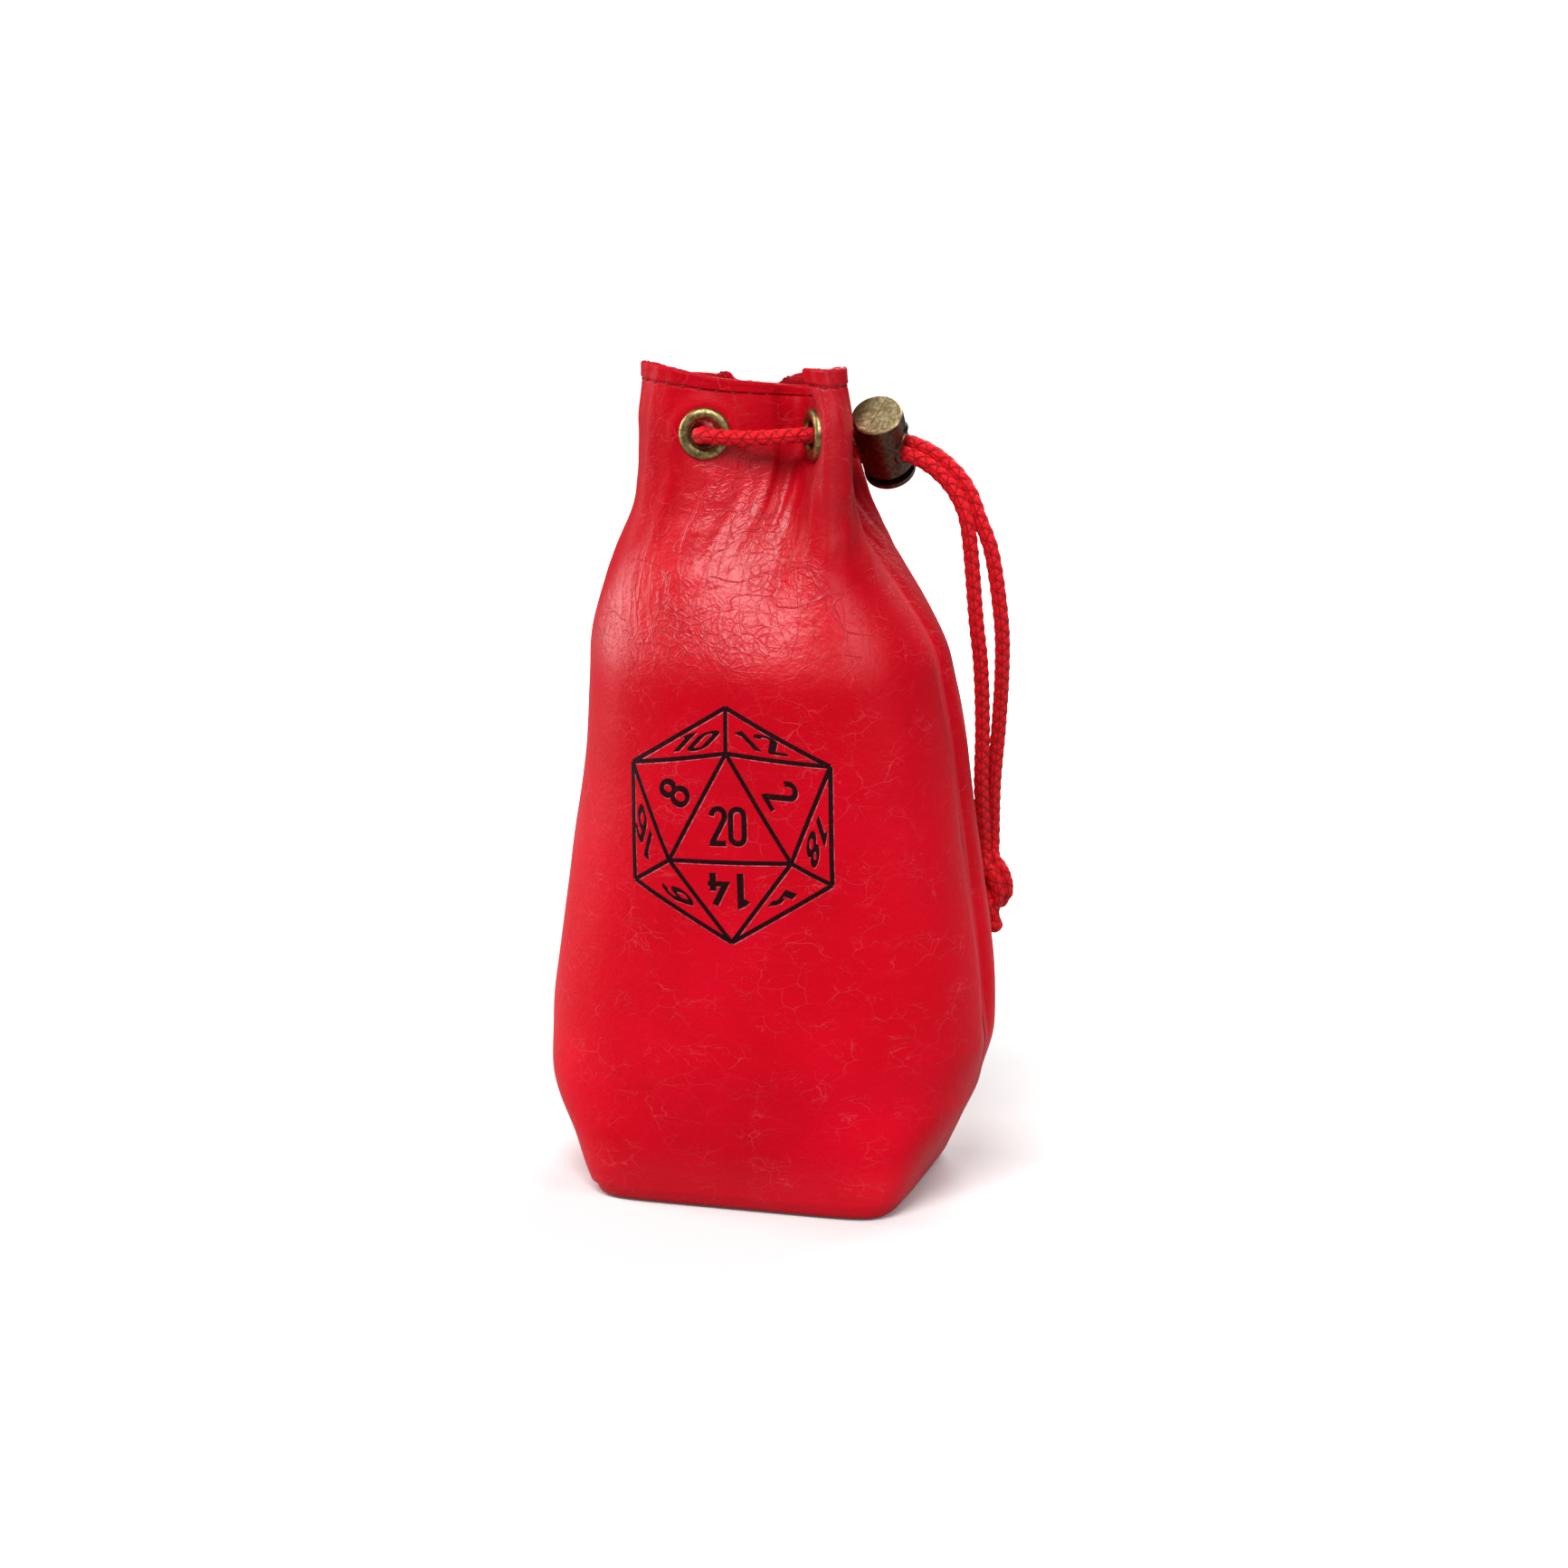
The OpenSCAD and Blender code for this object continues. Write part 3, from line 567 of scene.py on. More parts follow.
def leather():
    g = Nodes("red_leather")
    p = g.vector("cloth")
    shoulder = g.value("shoulder")
    pores = g.noise(p, 3.2, 3, 0.6)
    dark = crease_shade(g, p, shoulder)
    pale = hair_highlights(g, p, shoulder)
    red = g.blend(g.ramp(g.noise(p, 0.035, 3), 0.35, 0.65), (0.64, 0.0006, 0.011), (0.73, 0.0010, 0.016))
    # painted shade, darker towards the neck
    red = g.blend(g.times(g.value("neck"), 0.66), red, (0.33, 0.0, 0.004))
    red = g.blend(g.times(g.ramp(pores, 0.5, 0.75), 0.2), red, (0.80, 0.012, 0.03))
    # painted highlights along thin lines
    red = g.blend(g.times(pale, 0.28), red, (0.90, 0.10, 0.13))
    # painted shade in the creases
    red = g.blend(g.times(dark, 0.42), red, (0.24, 0.0, 0.006))
    # the side seam is a raised edge on either side of a line: painted highlight along the raised edges,
    # painted shade on the line
    edge = g.value("edge")
    red = g.blend(g.ramp(edge, 0.62, 0.82, 0, 0.22), red, (0.85, 0.10, 0.13))
    red = g.blend(g.ramp(edge, 0.93, 0.99, 0, 0.75), red, (0.16, 0.0, 0.004))
    # fine pebble grain and pores, creases that sink in, and soft lumps
    grain = g.voronoi(g.warp(p, 0.8, 0.5), 1.7, "SMOOTH_F1")
    lumps = g.noise(g.warp(p, 0.2, 3), 0.45, 3, 0.55)
    height = g.add(g.times(grain, 0.05), g.times(pores, 0.03))
    height = g.subtract(height, g.times(dark, 0.10))
    height = g.subtract(height, g.times(pale, 0.05))
    height = g.add(height, g.times(lumps, g.ramp(shoulder, 0, 1, 0.16, 0.3)))
    rough = g.subtract(g.ramp(pores, 0.2, 0.8, 0.36, 0.50), g.times(shoulder, 0.06))
    shine = g.ramp(g.value("gloss"), 0, 1, 0.06, 0.45)
    return g.set(Base_Color=red, Roughness=rough, Specular_IOR_Level=shine,
                 Sheen_Weight=0.08, Sheen_Roughness=0.45, Sheen_Tint=(1, 0.4, 0.4),
                 Normal=g.bump(height, 0.9, 0.85))


def suede():
    g = Nodes("suede_lining")
    p = g.vector("cloth")
    nap = g.noise(p, 2.4, 4, 0.7)
    fibre = g.noise(g.place(p, (1, 0.35, 1)), 6, 2, 0.6)
    tone = g.noise(p, 0.16, 3)
    red = g.blend(g.ramp(nap, 0.3, 0.7), (0.20, 0.0, 0.004), (0.46, 0.001, 0.010))
    red = g.blend(g.times(g.ramp(tone, 0.4, 0.7), 0.4), red, (0.55, 0.004, 0.016))
    return g.set(Base_Color=red, Roughness=0.95, Specular_IOR_Level=0.05,
                 Sheen_Weight=0.12, Sheen_Roughness=0.6, Sheen_Tint=(0.9, 0.12, 0.14),
                 Normal=g.bump(g.add(nap, g.times(fibre, 0.5)), 0.35))


def cord_fabric():
    g = Nodes("braided_cord")
    fibre = g.noise(g.place(g.vector("braid"), 7), 1, 3, 0.65)
    yarn = g.math("SINE", g.times(g.value("strand"), 30.0))
    # painted shade: the strands darken towards the grooves between them
    red = g.blend(g.ramp(g.value("relief"), 0.0, 0.8), (0.52, 0.0, 0.004), (0.84, 0.002, 0.012))
    red = g.blend(g.times(g.ramp(fibre, 0.5, 0.8), 0.35), red, (0.95, 0.03, 0.04))
    return g.set(Base_Color=red, Roughness=0.5, Specular_IOR_Level=0.22,
                 Sheen_Weight=0.06, Sheen_Roughness=0.35, Sheen_Tint=(1, 0.4, 0.4),
                 Normal=g.bump(g.add(fibre, g.times(yarn, 0.25)), 0.12))


def sewing_thread():
    g = Nodes("sewing_thread")
    twist = g.noise(g.place(g.millimetres(), (1, 1, 4)), 3, 2)
    red = g.blend(twist, (0.10, 0.0, 0.002), (0.30, 0.002, 0.008))
    return g.set(Base_Color=red, Roughness=0.7, Normal=g.bump(twist, 0.06))


def ink():
    g = Nodes("stamped_ink")
    wear = g.noise(g.millimetres(), 1.6, 4, 0.65)
    black = g.blend(g.ramp(wear, 0.5, 0.75), (0.012, 0.001, 0.002), (0.06, 0.001, 0.005))
    return g.set(Base_Color=black, Roughness=g.ramp(wear, 0.2, 0.8, 0.42, 0.65), Specular_IOR_Level=0.1,
                 Normal=g.bump(wear, 0.05))


def bevel_highlight():
    """A pale rim beside the ink: painted highlight where the pressed leather's bevel catches the light."""
    g = Nodes("painted_bevel_highlight")
    tone = g.noise(g.millimetres(), 0.9, 3, 0.6)
    red = g.blend(g.ramp(tone, 0.35, 0.7), (0.58, 0.004, 0.02), (0.85, 0.12, 0.16))
    return g.set(Base_Color=red, Roughness=0.4, Normal=g.bump(tone, 0.08))


def aged_brass():
    g = Nodes("antique_brass")
    p = g.millimetres()
    patina = g.noise(p, 0.9, 5, 0.62)
    scratch = g.noise(g.place(p, (1, 1, 7)), 1.4, 4, 0.7)
    brass = g.blend(g.ramp(patina, 0.38, 0.66), (0.17, 0.125, 0.045), (0.46, 0.37, 0.16))
    rough = g.add(g.ramp(patina, 0.3, 0.7, 0.42, 0.26), g.times(scratch, 0.1))
    return g.set(Base_Color=brass, Metallic=1.0, Roughness=rough,
                 Normal=g.bump(g.add(g.times(patina, 0.6), scratch), 0.035))


def bronze():
    """Dark barrel with a bright closed end that carries a scored line and is painted darker on one side as
    shade.
    """
    # where the barrel's side turns into its end, and the turn of the scored line in radians
    disc_from, disc_to = 7.15, 7.5
    score_turn = 0.26
    g = Nodes("lock_bronze")
    p = g.millimetres()
    local = g.node("VectorMath", {0: p, 1: tuple(LOCK_AT)}, operation="SUBTRACT").outputs[0]
    axis = (0, -math.sin(LOCK_TILT), math.cos(LOCK_TILT))
    up = np.array([0, math.cos(LOCK_TILT), math.sin(LOCK_TILT)])
    score = math.cos(score_turn) * np.array([1, 0, 0]) - math.sin(score_turn) * up
    dot = lambda v: g.node("VectorMath", {0: local, 1: tuple(v)}, operation="DOT_PRODUCT").outputs["Value"]
    across = dot(score)
    disc = g.ramp(dot(axis), disc_from, disc_to)
    mottle = g.noise(p, 1.3, 5, 0.7)
    fine = g.noise(p, 4.5, 3, 0.7)
    # painted shade: one side of the closed end is darker
    shade = g.ramp(g.add(across, g.times(mottle, 2.0)), -2.6, 0.6)
    bright = g.blend(g.ramp(mottle, 0.4, 0.62), (0.42, 0.29, 0.12), (0.86, 0.70, 0.42))
    bright = g.blend(g.times(g.ramp(fine, 0.54, 0.66), 0.7), bright, (0.20, 0.13, 0.05))
    bright = g.blend(shade, (0.16, 0.10, 0.04), bright)
    dark = g.blend(g.ramp(mottle, 0.35, 0.7), (0.060, 0.036, 0.024), (0.17, 0.105, 0.065))
    line = g.times(g.ramp(g.math("ABSOLUTE", across), 0.03, 0.09, 1, 0), disc)
    colour = g.blend(g.times(line, 0.85), g.blend(disc, dark, bright), (0.08, 0.05, 0.03))
    rough = g.blend(disc, (0.27, 0.27, 0.27), (0.40, 0.40, 0.40))
    height = g.subtract(g.add(mottle, g.times(fine, 0.6)), g.times(line, 2.5))
    return g.set(Base_Color=colour, Metallic=1.0, Roughness=rough, Normal=g.bump(height, 0.05))


def steel():
    g = Nodes("spring_steel")
    tone = g.noise(g.millimetres(), 2, 4)
    return g.set(Base_Color=g.blend(tone, (0.45, 0.45, 0.46), (0.62, 0.62, 0.63)), Metallic=1.0,
                 Roughness=g.ramp(tone, 0.2, 0.8, 0.22, 0.36), Normal=g.bump(tone, 0.02))


MATERIALS = {"leather": leather(), "suede": suede(), "cord": cord_fabric(), "thread": sewing_thread(),
             "ink": ink(), "edge": bevel_highlight(), "brass": aged_brass(), "bronze": bronze(), "steel": steel()}


def finish(obj, material, slot, *nodes):
    """Give a piece its material, and hide the CAD nodes that it takes the place of; slot is not used."""
    obj.data.materials.clear()
    obj.data.materials.append(MATERIALS[material])
    if nodes:
        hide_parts(*nodes)


# ---- Leather and lining ----

def add_leather(shell):
    name = SIDES[shell.side]
    # the fold at the rim closes towards the inside
    folded = shell.z > BAG_H - ROLL_R
    depth = np.where(folded, LEATHER_T - 2 * shell.roll, LEATHER_T)[:, :, None]
    piece = sheet(f"leather_{name}", shell, shell.layer(0), shell.layer(depth))
    finish(piece, "leather", "red_leather", f"{name}_panel", f"{name}_neck")


def add_lining(shell):
    """The lining stands a little above the rim with a rough edge."""
    name = SIDES[shell.side]
    fuzz = noise(shell.arc / 0.9, shell.z, 71) * 0.16 + noise(shell.arc / 3.1, shell.z, 72) * 0.2
    lift = np.where(shell.z > BAG_H - ROLL_R, 0.75 + fuzz, 0)
    layers = []
    for depth in (LEATHER_T + GAP, LEATHER_T + GAP + LINING_T):
        layer = shell.layer(depth)
        layer[:, :, 2] = np.where(shell.z < 0, depth, np.maximum(layer[:, :, 2] + lift, depth))
        layers.append(layer)
    piece = sheet(f"lining_{name}", shell, *layers)
    finish(piece, "suede", "suede_lining", f"lining_neck_{name}")
    if shell.side == FRONT:
        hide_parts("lining_body")


shells = {side: Shell(side) for side in SIDES}
for shell in shells.values():
    add_leather(shell)
    add_lining(shell)


# ---- Tubes ----

def frames(path):
    """Two directions across a path that never twist."""
    t = np.gradient(path, axis=0)
    t /= np.linalg.norm(t, axis=1, keepdims=True)
    u = np.zeros_like(t)
    v = np.cross(t[0], [0, 0, 1.0] if abs(t[0][2]) < 0.9 else [1.0, 0, 0])
    for i, d in enumerate(t):
        v = v - d * (v @ d)
        v /= np.linalg.norm(v)
        u[i] = v
    return u, np.cross(t, u)


def tube(path, radii, sides, first=0):
    """A closed tube: its points, and its faces if its first point has the number first.

    radii has a row for each ring.
    """
    u, v = frames(path)
    a = np.arange(sides) * 2 * math.pi / sides
    spokes = u[:, None] * np.cos(a)[None, :, None] + v[:, None] * np.sin(a)[None, :, None]
    verts = (path[:, None] + radii[:, :, None] * spokes).reshape(-1, 3)
    rings = [[first + i * sides + j for j in range(sides)] for i in range(len(path))]
    faces = [[low[j], low[(j + 1) % sides], high[(j + 1) % sides], high[j]]
             for low, high in zip(rings, rings[1:]) for j in range(sides)]
    return verts, faces + [rings[0][::-1], rings[-1]]


# Length of a strand's pass over or under another, relief of the strands, and length of a melted tip
BRAID_PITCH, BRAID_RELIEF, TIP = 2.4, 0.32, 1.3


def braid(name, points, start=0.0, tip=False):
    """A round cord of six thick strands, three each way, that pass over and under one another."""
    sides, ring_step, core_r = 28, 0.26, CORD_R - 0.25
    rough = spline(points, 60 * len(points))
    length = np.linalg.norm(np.diff(rough, axis=0), axis=1).sum()
    path = resample(rough, np.linspace(0, 1, int(length / ring_step)))
    s = np.linspace(0, length, len(path))[:, None] + start
    a = np.arange(sides)[None, :] * 2 * math.pi / sides
    turn = 3 * a / (2 * math.pi)
    u, v = turn + s / BRAID_PITCH, turn - s / BRAID_PITCH
    over = np.sin(math.pi * u) * np.sin(math.pi * v)
    bulge = lambda w: np.sqrt(np.clip(1 - (2 * (w - np.floor(w)) - 1) ** 2, 0, 1))
    relief = np.maximum(bulge(u) * (0.5 + 0.5 * over), bulge(v) * (0.5 - 0.5 * over))
    strand = np.where(bulge(u) * (1 + over) > bulge(v) * (1 - over), u, v)
    radii = core_r + BRAID_RELIEF * relief
    if tip:
        left = length - (s - start)
        radii = radii * np.sqrt(1 - (1 - np.clip(left / TIP, 0, 1)) ** 2 * 0.97)
        radii = radii + 0.25 * np.exp(-((left - 1.2) / 0.8) ** 2)
    obj = new_object(name, *tube(path, radii, sides))
    set_vector(obj, "braid", np.stack(np.broadcast_arrays(s, a * CORD_R, s * 0), 2).reshape(-1, 3))
    set_value(obj, "relief", relief)
    set_value(obj, "strand", strand)
    finish(obj, "cord", "braided_cord")
    return obj, np.repeat(s[:, 0] - start, sides), length


# ---- Cord ----

# The cords' bend below the lock: from and to, in degrees from its top
BEND_FROM, BEND_TO = -16, 76


def in_lock(u, v):
    """Offset from the lock's middle: u across the barrel and v along it."""
    c, s = math.cos(LOCK_TILT), math.sin(LOCK_TILT)
    return np.array([0, u * c - v * s, u * s + v * c])


def on_bend(side, degrees):
    """A point of one cord on the bend; half its sag across the barrel keeps it in the barrel's hole."""
    barrel_d, off_middle = 9.2, 1.35
    sag = BEND_R - math.sqrt(BEND_R ** 2 - barrel_d ** 2 / 4)
    off = in_lock(side * off_middle, -PRESS / 2)
    r = BEND_R + off[2] + sag / 2
    a = math.radians(degrees)
    return np.array([BEND_AT[0] + r * math.sin(a), BEND_AT[1] + off[1], BEND_AT[2] + r * math.cos(a)])


def lacing(side):
    """From the left side seam through the four eyelets of one half to the lock."""
    inside, out = 4.2, 2.6

    def at(k, distance, down=0, half=side):
        """Beside eyelet k, at a distance out of the bag."""
        centre, direction = EYE_FRAMES[half][k]
        return centre + distance * direction - np.array([0, 0, down])

    return [
        mix(at(3, 1.2), at(3, 1.2, half=-side), 0.5),
        at(3, 1.2), at(3, 0), at(3, 0.8 - inside),
        mix(at(2, -inside), at(3, -inside), 0.5) + [1.5, 0, 0],
        at(2, 0.6 - inside), at(2, 0.4), at(2, out),
        mix(at(1, out), at(2, out), 0.5) - [0, 0, 0.5],
        at(1, out - 0.4), at(1, 0), at(1, 0.8 - inside),
        mix(at(0, -inside), at(1, -inside), 0.55) + [1.6, 0, 0],
        at(0, 0.6 - inside), at(0, 0), at(0, 2.2, -side * 0.8), on_bend(side, BEND_FROM),
    ]


# Each tail hangs from the bend to the knot
HANG = {
    FRONT: [(36.6, -1, 118), (37, 1.7, 106), (37.2, 5, 97), (36.6, 9.6, 85), (35.6, 13.6, 73)],
    BACK: [(40, 0.8, 118), (41.2, 3.4, 106), (40.8, 6.6, 97), (39.2, 11.6, 85), (37.4, 16, 73)],
}
# Middle of the overhand knot, and the way of a cord through it and on to its end
KNOT_AT = np.array([35.9, 19.6, 53])
KNOT = [(-0.3, -0.4, 8.6), (0.4, -1.5, 4.6), (3.2, -1.2, 2.0), (3.9, 0.2, -1.6), (1.0, 1.7, -4.2),
        (-2.8, 1.2, -3.2), (-3.8, -0.2, 0.4), (-1.6, 0.6, 3.4), (1.2, 1.9, 2.6), (1.5, 0.8, -0.8),
        (0.4, -1.6, -4.2), (0.5, -1.4, -7.2), (0.9, -0.8, -10.4)]
# The two tails lie this far apart in the knot
KNOT_APART = np.array([0.6, 1.0, 0.35])


def add_lace(side):
    name = SIDES[side]
    piece, s, length = braid(f"cord_lace_{name}", lacing(side))
    bend(piece, smooth(s / 5) * smooth((length - s) / 6))
    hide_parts(f"cord_{name}")


def add_tail(side):
    name = SIDES[side]
    arc = [on_bend(side, a) for a in (BEND_FROM, 0, 16, 32, 48, 62, BEND_TO)]
    knot = [KNOT_AT + np.array(k) * (0.62, 0.8, 1) + side * KNOT_APART for k in KNOT]
    knot[-1] = knot[-1] + [side * 0.5, 0, side * 0.9]
    points = arc + [np.array(h) for h in HANG[side]] + knot
    piece, s, _ = braid(f"cord_tail_visual_{name}", points, 1.0, True)
    bend_length = math.radians(BEND_TO - BEND_FROM) * (BEND_R - 0.3)
    bend(piece, smooth((s - bend_length + 3) / 6))
    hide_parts(f"cord_bend_{name}", f"cord_tail_{name}")
    if side == FRONT:
        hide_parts("end_knot")


for side in SIDES:
    add_lace(side)
    add_tail(side)


# ---- Hem stitches ----

def add_stitches(shell):
    """A row of short threads in the hem's groove, each thinner at its ends."""
    pitch, sides = 3.3, 8
    # the rings of a stitch: their places, as shares of the pitch, and their radii
    along = np.array([0.3, 0.42, 0.54, 0.66])
    radii = np.array([0.12, 0.24, 0.24, 0.12])
    row = int(np.argmin(np.abs(shell.z[:, 0] - STITCH_Z)))
    line, out, seam = shell.grid[row], shell.out[row], shell.seam[row]
    count = int(shell.whole[row, 0] / pitch)
    verts, faces, weights = [], [], []
    for k in range(count):
        x = np.clip((along + k) / count, 0, 1) * (len(line) - 1)
        i = np.minimum(x.astype(int), len(line) - 2)
        path = mix(line[i], line[i + 1], (x - i)[:, None]) + out[i] * 0.08
        points, quads = tube(path, radii[:, None], sides, len(verts))
        verts.extend(points)
        faces += quads
        off_seam = np.interp(k / count, shell.shares, seam)
        weights += [float(smooth(off_seam / 3))] * len(points)
    name = SIDES[shell.side]
    piece = new_object(f"hem_stitches_{name}", verts, faces)
    bend(piece, weights)
    finish(piece, "thread", "sewing_thread", f"hem_thread_{name}")


for shell in shells.values():
    add_stitches(shell)


# ---- Printed die ----

# Corner radius, height of the middle and turn of the print, and width of its lines
EMBLEM_R, EMBLEM_Z, EMBLEM_TURN = 21.0, 72.6, math.radians(2)
LINE_W = 0.76
PHI = (1 + math.sqrt(5)) / 2
# The ink stands this high above the leather, the pale rim of painted highlight beside it less high; both
# reach below the surface
INK_H, HIGHLIGHT_H, ROOT = 0.06, 0.03, -0.1
# the painted highlight sits this far right of and below the ink
HIGHLIGHT_SHIFT = np.array([0.12, -0.19])


def arc_points(cx, cy, rx, ry, a0, a1, n=10):
    a = np.radians(np.linspace(a0, a1, n))
    return [(cx + rx * math.cos(t), cy + ry * math.sin(t)) for t in a]


# Strokes of each digit, one unit tall
DIGITS = {
    "0": [arc_points(0.2, 0.8, 0.2, 0.2, 180, 0) + arc_points(0.2, 0.2, 0.2, 0.2, 0, -180) + [(0, 0.8)]],
    "1": [[(0.08, 0.84), (0.24, 1.0), (0.24, 0.0)]],
    "2": [arc_points(0.2, 0.79, 0.2, 0.21, 180, -25) + [(0.0, 0.0), (0.42, 0.0)]],
    "4": [[(0.26, 1.0), (0.0, 0.34), (0.42, 0.34)], [(0.3, 0.56), (0.3, 0.0)]],
    "6": [arc_points(0.2, 0.8, 0.2, 0.2, 20, 180) + arc_points(0.2, 0.22, 0.2, 0.22, 180, 360)
          + arc_points(0.2, 0.4, 0.2, 0.18, 0, 170)],
    "8": [arc_points(0.2, 0.77, 0.17, 0.23, -90, 270, 20), arc_points(0.2, 0.27, 0.2, 0.27, 90, 450, 20)],
}
# Width of a digit, of the digit 1 and of the space between two
DIGIT_W, ONE_W, SPACE = 0.40, 0.42, 0.17


def polar(r, degrees):
    return np.array([r * math.cos(math.radians(degrees)), r * math.sin(math.radians(degrees))])


# Corners of the face in the middle, and of the hexagon round it by their direction
inner = [polar(EMBLEM_R / PHI, a) for a in (90, 210, 330)]
outer = {a: polar(EMBLEM_R, a) for a in (90, 150, 210, 270, 330, 30)}
SPOKES = (90, 150, 30), (210, 150, 270), (330, 30, 270)
LINES = ([(inner[k], inner[(k + 1) % 3]) for k in range(3)]
         + [(outer[a], outer[(a + 60) % 360]) for a in outer]
         + [(inner[k], outer[a]) for k in range(3) for a in SPOKES[k]])
# Each face of the die: the ends of its base edge, the corner its number points to, the number, its height
FACES = [
    (inner[1], inner[2], inner[0], "20", 6.2),
    (inner[0], inner[1], outer[150], "8", 7.2),
    (inner[2], inner[0], outer[30], "2", 7.0),
    (inner[2], inner[1], outer[270], "14", 7.8),
    (outer[150], inner[0], outer[90], "10", 6.6),
    (inner[0], outer[30], outer[90], "12", 6.6),
    (inner[1], outer[150], outer[210], "16", 6.6),
    (outer[30], inner[2], outer[330], "18", 6.6),
    (outer[270], inner[1], outer[210], "6", 6.6),
    (inner[2], outer[270], outer[330], "4", 6.6),
]


def ribbon(points, width):
    """Left and right edges of a stroke along points."""
    p = np.asarray(points, float)
    p = p[np.concatenate([[True], np.linalg.norm(np.diff(p, axis=0), axis=1) > 1e-6])]
    d = np.diff(p, axis=0)
    d /= np.linalg.norm(d, axis=1, keepdims=True)
    n = np.stack([-d[:, 1], d[:, 0]], 1)
    loop = np.linalg.norm(p[0] - p[-1]) < 1e-6
    before = n[-1] if loop else n[0]
    after = n[0] if loop else n[-1]
    m = np.concatenate([[before + n[0]], n[1:] + n[:-1], [after + n[-1]]])
    m /= np.sum(m * m, axis=1, keepdims=True) / 2
    m = np.clip(m, -1.6, 1.6)
    return p + m * width / 2, p - m * width / 2


def dense(line):
    """More points on a digit's stroke: a curve is resampled, a straight stroke keeps its corners."""
    line = np.asarray(line)
    if len(line) > 3:
        return resample(line, np.linspace(0, 1, max(8, int(len(line) * 2.5))))
    return np.concatenate([np.linspace(p, q, 6)[:-1] for p, q in zip(line, line[1:])] + [line[-1:]])


def number_strokes(a, b, tip, text, height):
    """A number in the middle of a face, skewed as the face is; those on the die's sides are wider."""
    edge = EMBLEM_R / 0.934
    middle, base = (a + b + tip) / 3, (a + b) / 2
    right, up = (b - a) / edge, (tip - base) / (edge * math.sqrt(3) / 2)
    if right[0] * up[1] - right[1] * up[0] <= 0:
        right = -right
    wide, pen = (1.25, 0.18) if height < 6.7 and text != "20" else (1, 0.155)
    widths = [ONE_W if c == "1" else DIGIT_W for c in text]
    x = -(sum(widths) + SPACE * (len(text) - 1)) / 2
    found = []
    for c, w in zip(text, widths):
        for line in DIGITS[c]:
            found.append([middle + height * ((e[:, :1] + x) * wide * right + (e[:, 1:] - 0.5) * up)
                          for e in ribbon(dense(line), pen)])
        x += w + SPACE
    return found


def strokes():
    """Every stroke of the print as its two edges, about the print's middle."""
    found = [ribbon([mix(a, b, t) for t in np.linspace(0, 1, 40)], LINE_W) for a, b in LINES]
    for face in FACES:
        found += number_strokes(*face)
    c, s = math.cos(EMBLEM_TURN), math.sin(EMBLEM_TURN)
    return [[e @ np.array([[c, s], [-s, c]]) for e in edges] for edges in found]


def on_leather(points, lift):
    """Points of the print laid on the front leather."""
    shell = shells[FRONT]
    rows = np.interp(EMBLEM_Z + points[:, 1], shell.z[:, 0], np.arange(len(shell.z)))
    result = []
    for x, row in zip(points[:, 0], rows):
        r = min(int(row), len(shell.z) - 2)
        line = mix(shell.grid[r], shell.grid[r + 1], row - r)
        out = mix(shell.out[r], shell.out[r + 1], row - r)
        front = line[:, 1] < -12
        line, out = line[front][::-1], out[front][::-1]
        c = np.interp(x, line[:, 0], np.arange(len(line)))
        i = min(int(c), len(line) - 2)
        result.append(mix(line[i], line[i + 1], c - i) + mix(out[i], out[i + 1], c - i) * lift)
    return np.array(result)


def print_piece(name, shift, high, material):
    """The print as thin raised strokes."""
    verts, faces = [], []
    for left, right in strokes():
        left, right = left + shift, right + shift
        n, m = len(verts), len(left)
        for points, lift in ((left, high), (right, high), (right, ROOT), (left, ROOT)):
            verts.extend(on_leather(points, lift))
        for i in range(m - 1):
            for k in range(4):
                j = (k + 1) % 4
                faces.append([n + k * m + i, n + j * m + i, n + j * m + i + 1, n + k * m + i + 1])
        faces += [[n, n + 3 * m, n + 2 * m, n + m], [n + m - 1, n + 2 * m - 1, n + 3 * m - 1, n + 4 * m - 1]]
    piece = new_object(name, verts, faces, shade=False)
    bend(piece, neck_tilt(np.array(verts)[:, 2]))
    finish(piece, material, "red_leather")


print_piece("die_print", 0, INK_H, "ink")
# the pale rim beside the ink is a painted highlight
print_piece("die_print_highlight", HIGHLIGHT_SHIFT, HIGHLIGHT_H, "edge")


# ---- Metal parts carried over from the CAD ----

for node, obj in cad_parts.items():
    if node.startswith(("eyelet_", "washer_")):
        finish(obj, "brass", "eyelet_brass")
    elif node == "lock_spring":
        finish(obj, "steel", "spring_steel")
    elif node.startswith("lock_"):
        finish(obj, "bronze", "lock_bronze")


# ---- Stage, light and camera, in metres and watts ----

WHITE = (1, 1, 1)
LIGHTS_AIM = (0, 0, 0.08)
# Half the floor's side, and where its shadows start and stop fading into white
FLOOR, FADE_FROM, FADE_TO = 90, 0.04, 0.30
# Strength of the surroundings as the object sees them; the camera sees white
SURROUNDINGS = 0.14
# Camera: direction, distance and height, height of the point that it looks at, shift to the right, lens
AZIMUTH = math.radians(16)
DISTANCE, CAMERA_H, AIM_H, SHIFT, LENS = 0.663, 0.218, 0.074, 0.00167, 85.1


def look(obj, place, target):
    obj.location = place
    obj.rotation_euler = (Vector(target) - Vector(place)).to_track_quat("-Z", "Y").to_euler()
    bpy.context.scene.collection.objects.link(obj)


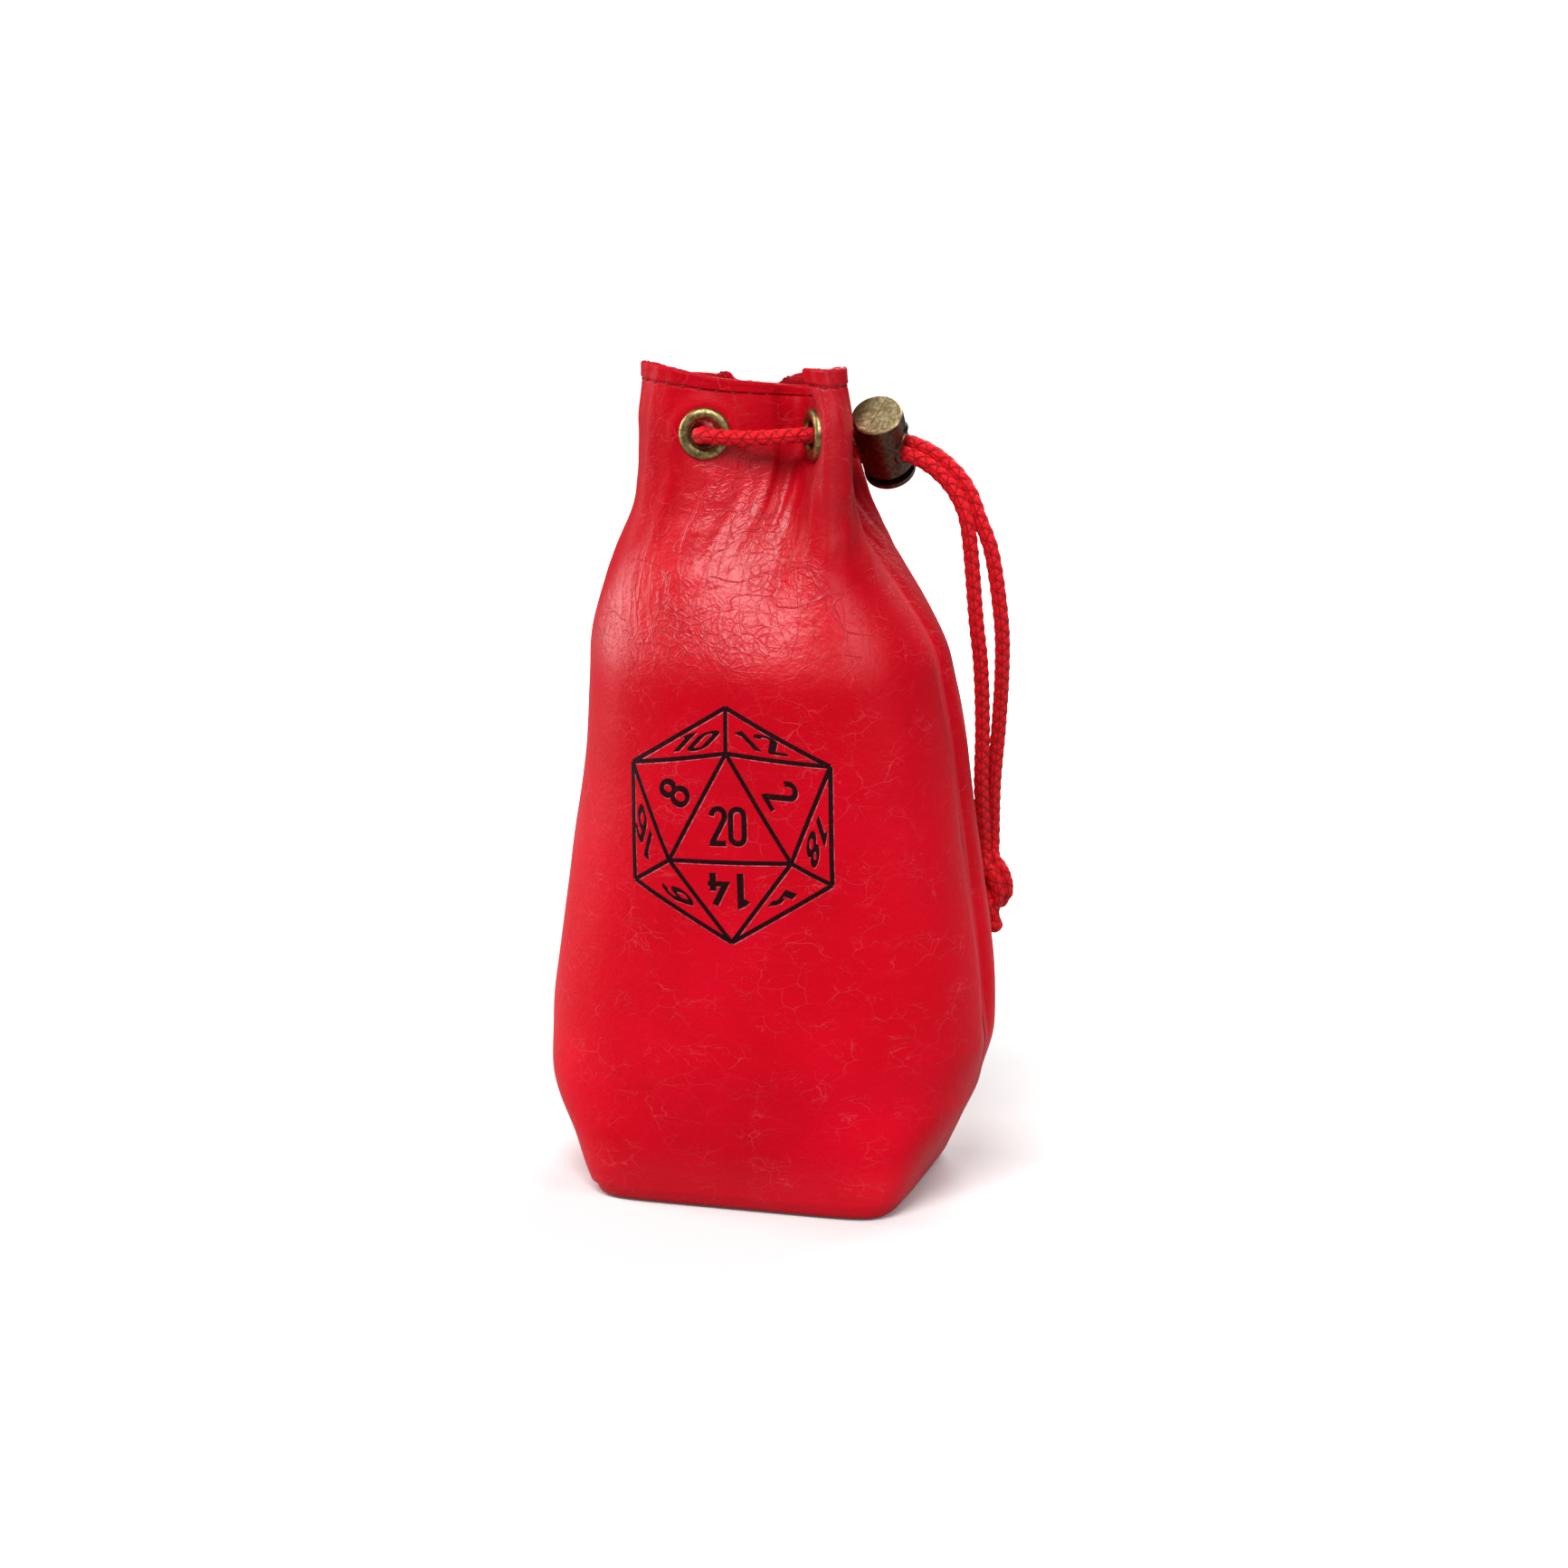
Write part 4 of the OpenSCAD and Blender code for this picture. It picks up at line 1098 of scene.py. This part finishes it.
def area(name, place, size, power):
    light = bpy.data.lights.new(name, "AREA")
    light.shape = "RECTANGLE"
    light.size, light.size_y = size
    light.energy = power
    obj = bpy.data.objects.new(name, light)
    look(obj, place, LIGHTS_AIM)
    obj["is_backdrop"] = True


def floor():
    """Pale paper that keeps the bag's shadow and fades to white around it."""
    corners = np.array([(-1, -1, 0), (1, -1, 0), (1, 1, 0), (-1, 1, 0)]) * FLOOR / MM
    obj = new_object("floor", corners, [[0, 1, 2, 3]], False)
    obj.location.z = -0.0002
    g = Nodes("pale_paper")
    p = g.node("TexCoord").outputs["Object"]
    to_camera = g.node("LightPath").outputs["Is Camera Ray"]
    far = g.ramp(g.node("VectorMath", {0: p}, operation="LENGTH").outputs["Value"], FADE_FROM, FADE_TO)
    seen = g.blend(g.noise(p, 30, 2), (0.78, 0.775, 0.775), (0.80, 0.795, 0.795))
    paper = g.blend(to_camera, (0.35, 0.35, 0.35), seen)
    glow = g.times(to_camera, g.ramp(far, 0, 1, 0.06, 1.0))
    obj.data.materials.append(g.set(Base_Color=paper, Roughness=0.9, Specular_IOR_Level=0.0,
                                    Emission_Color=WHITE, Emission_Strength=glow))
    g.mat.cycles.emission_sampling = "NONE"
    obj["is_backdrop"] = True


def surroundings():
    world = bpy.data.worlds.new("studio")
    bpy.context.scene.world = world
    world.use_nodes = True
    tree = world.node_tree
    background = tree.nodes["Background"]
    background.inputs["Color"].default_value = (*WHITE, 1)
    to_camera = tree.nodes.new("ShaderNodeLightPath").outputs["Is Camera Ray"]
    strength = tree.nodes.new("ShaderNodeMapRange")
    strength.inputs["To Min"].default_value = SURROUNDINGS
    tree.links.new(to_camera, strength.inputs["Value"])
    tree.links.new(strength.outputs[0], background.inputs["Strength"])


def camera():
    obj = bpy.data.objects.new("camera", bpy.data.cameras.new("camera"))
    obj.data.lens = LENS
    obj.data.sensor_width = 36
    right = np.array([math.cos(AZIMUTH), math.sin(AZIMUTH), 0]) * SHIFT
    eye = np.array([DISTANCE * math.sin(AZIMUTH), -DISTANCE * math.cos(AZIMUTH), CAMERA_H]) + right
    look(obj, eye, np.array([0, 0, AIM_H]) + right)
    bpy.context.scene.camera = obj


floor()
area("key", (0.02, -0.62, 0.78), (0.50, 0.40), 9)
area("left", (-0.80, -0.02, 0.30), (0.40, 0.80), 6)
area("right", (0.85, -0.35, 0.45), (0.35, 0.60), 2.6)
area("back", (0.15, 0.60, 0.60), (0.60, 0.40), 5)
surroundings()
camera()
bpy.context.scene.view_settings.view_transform = "Standard"

box = lambda b: [[float(x) for x in corner] for corner in b]
{"cad": box(cad_box), "visual": box(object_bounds())}
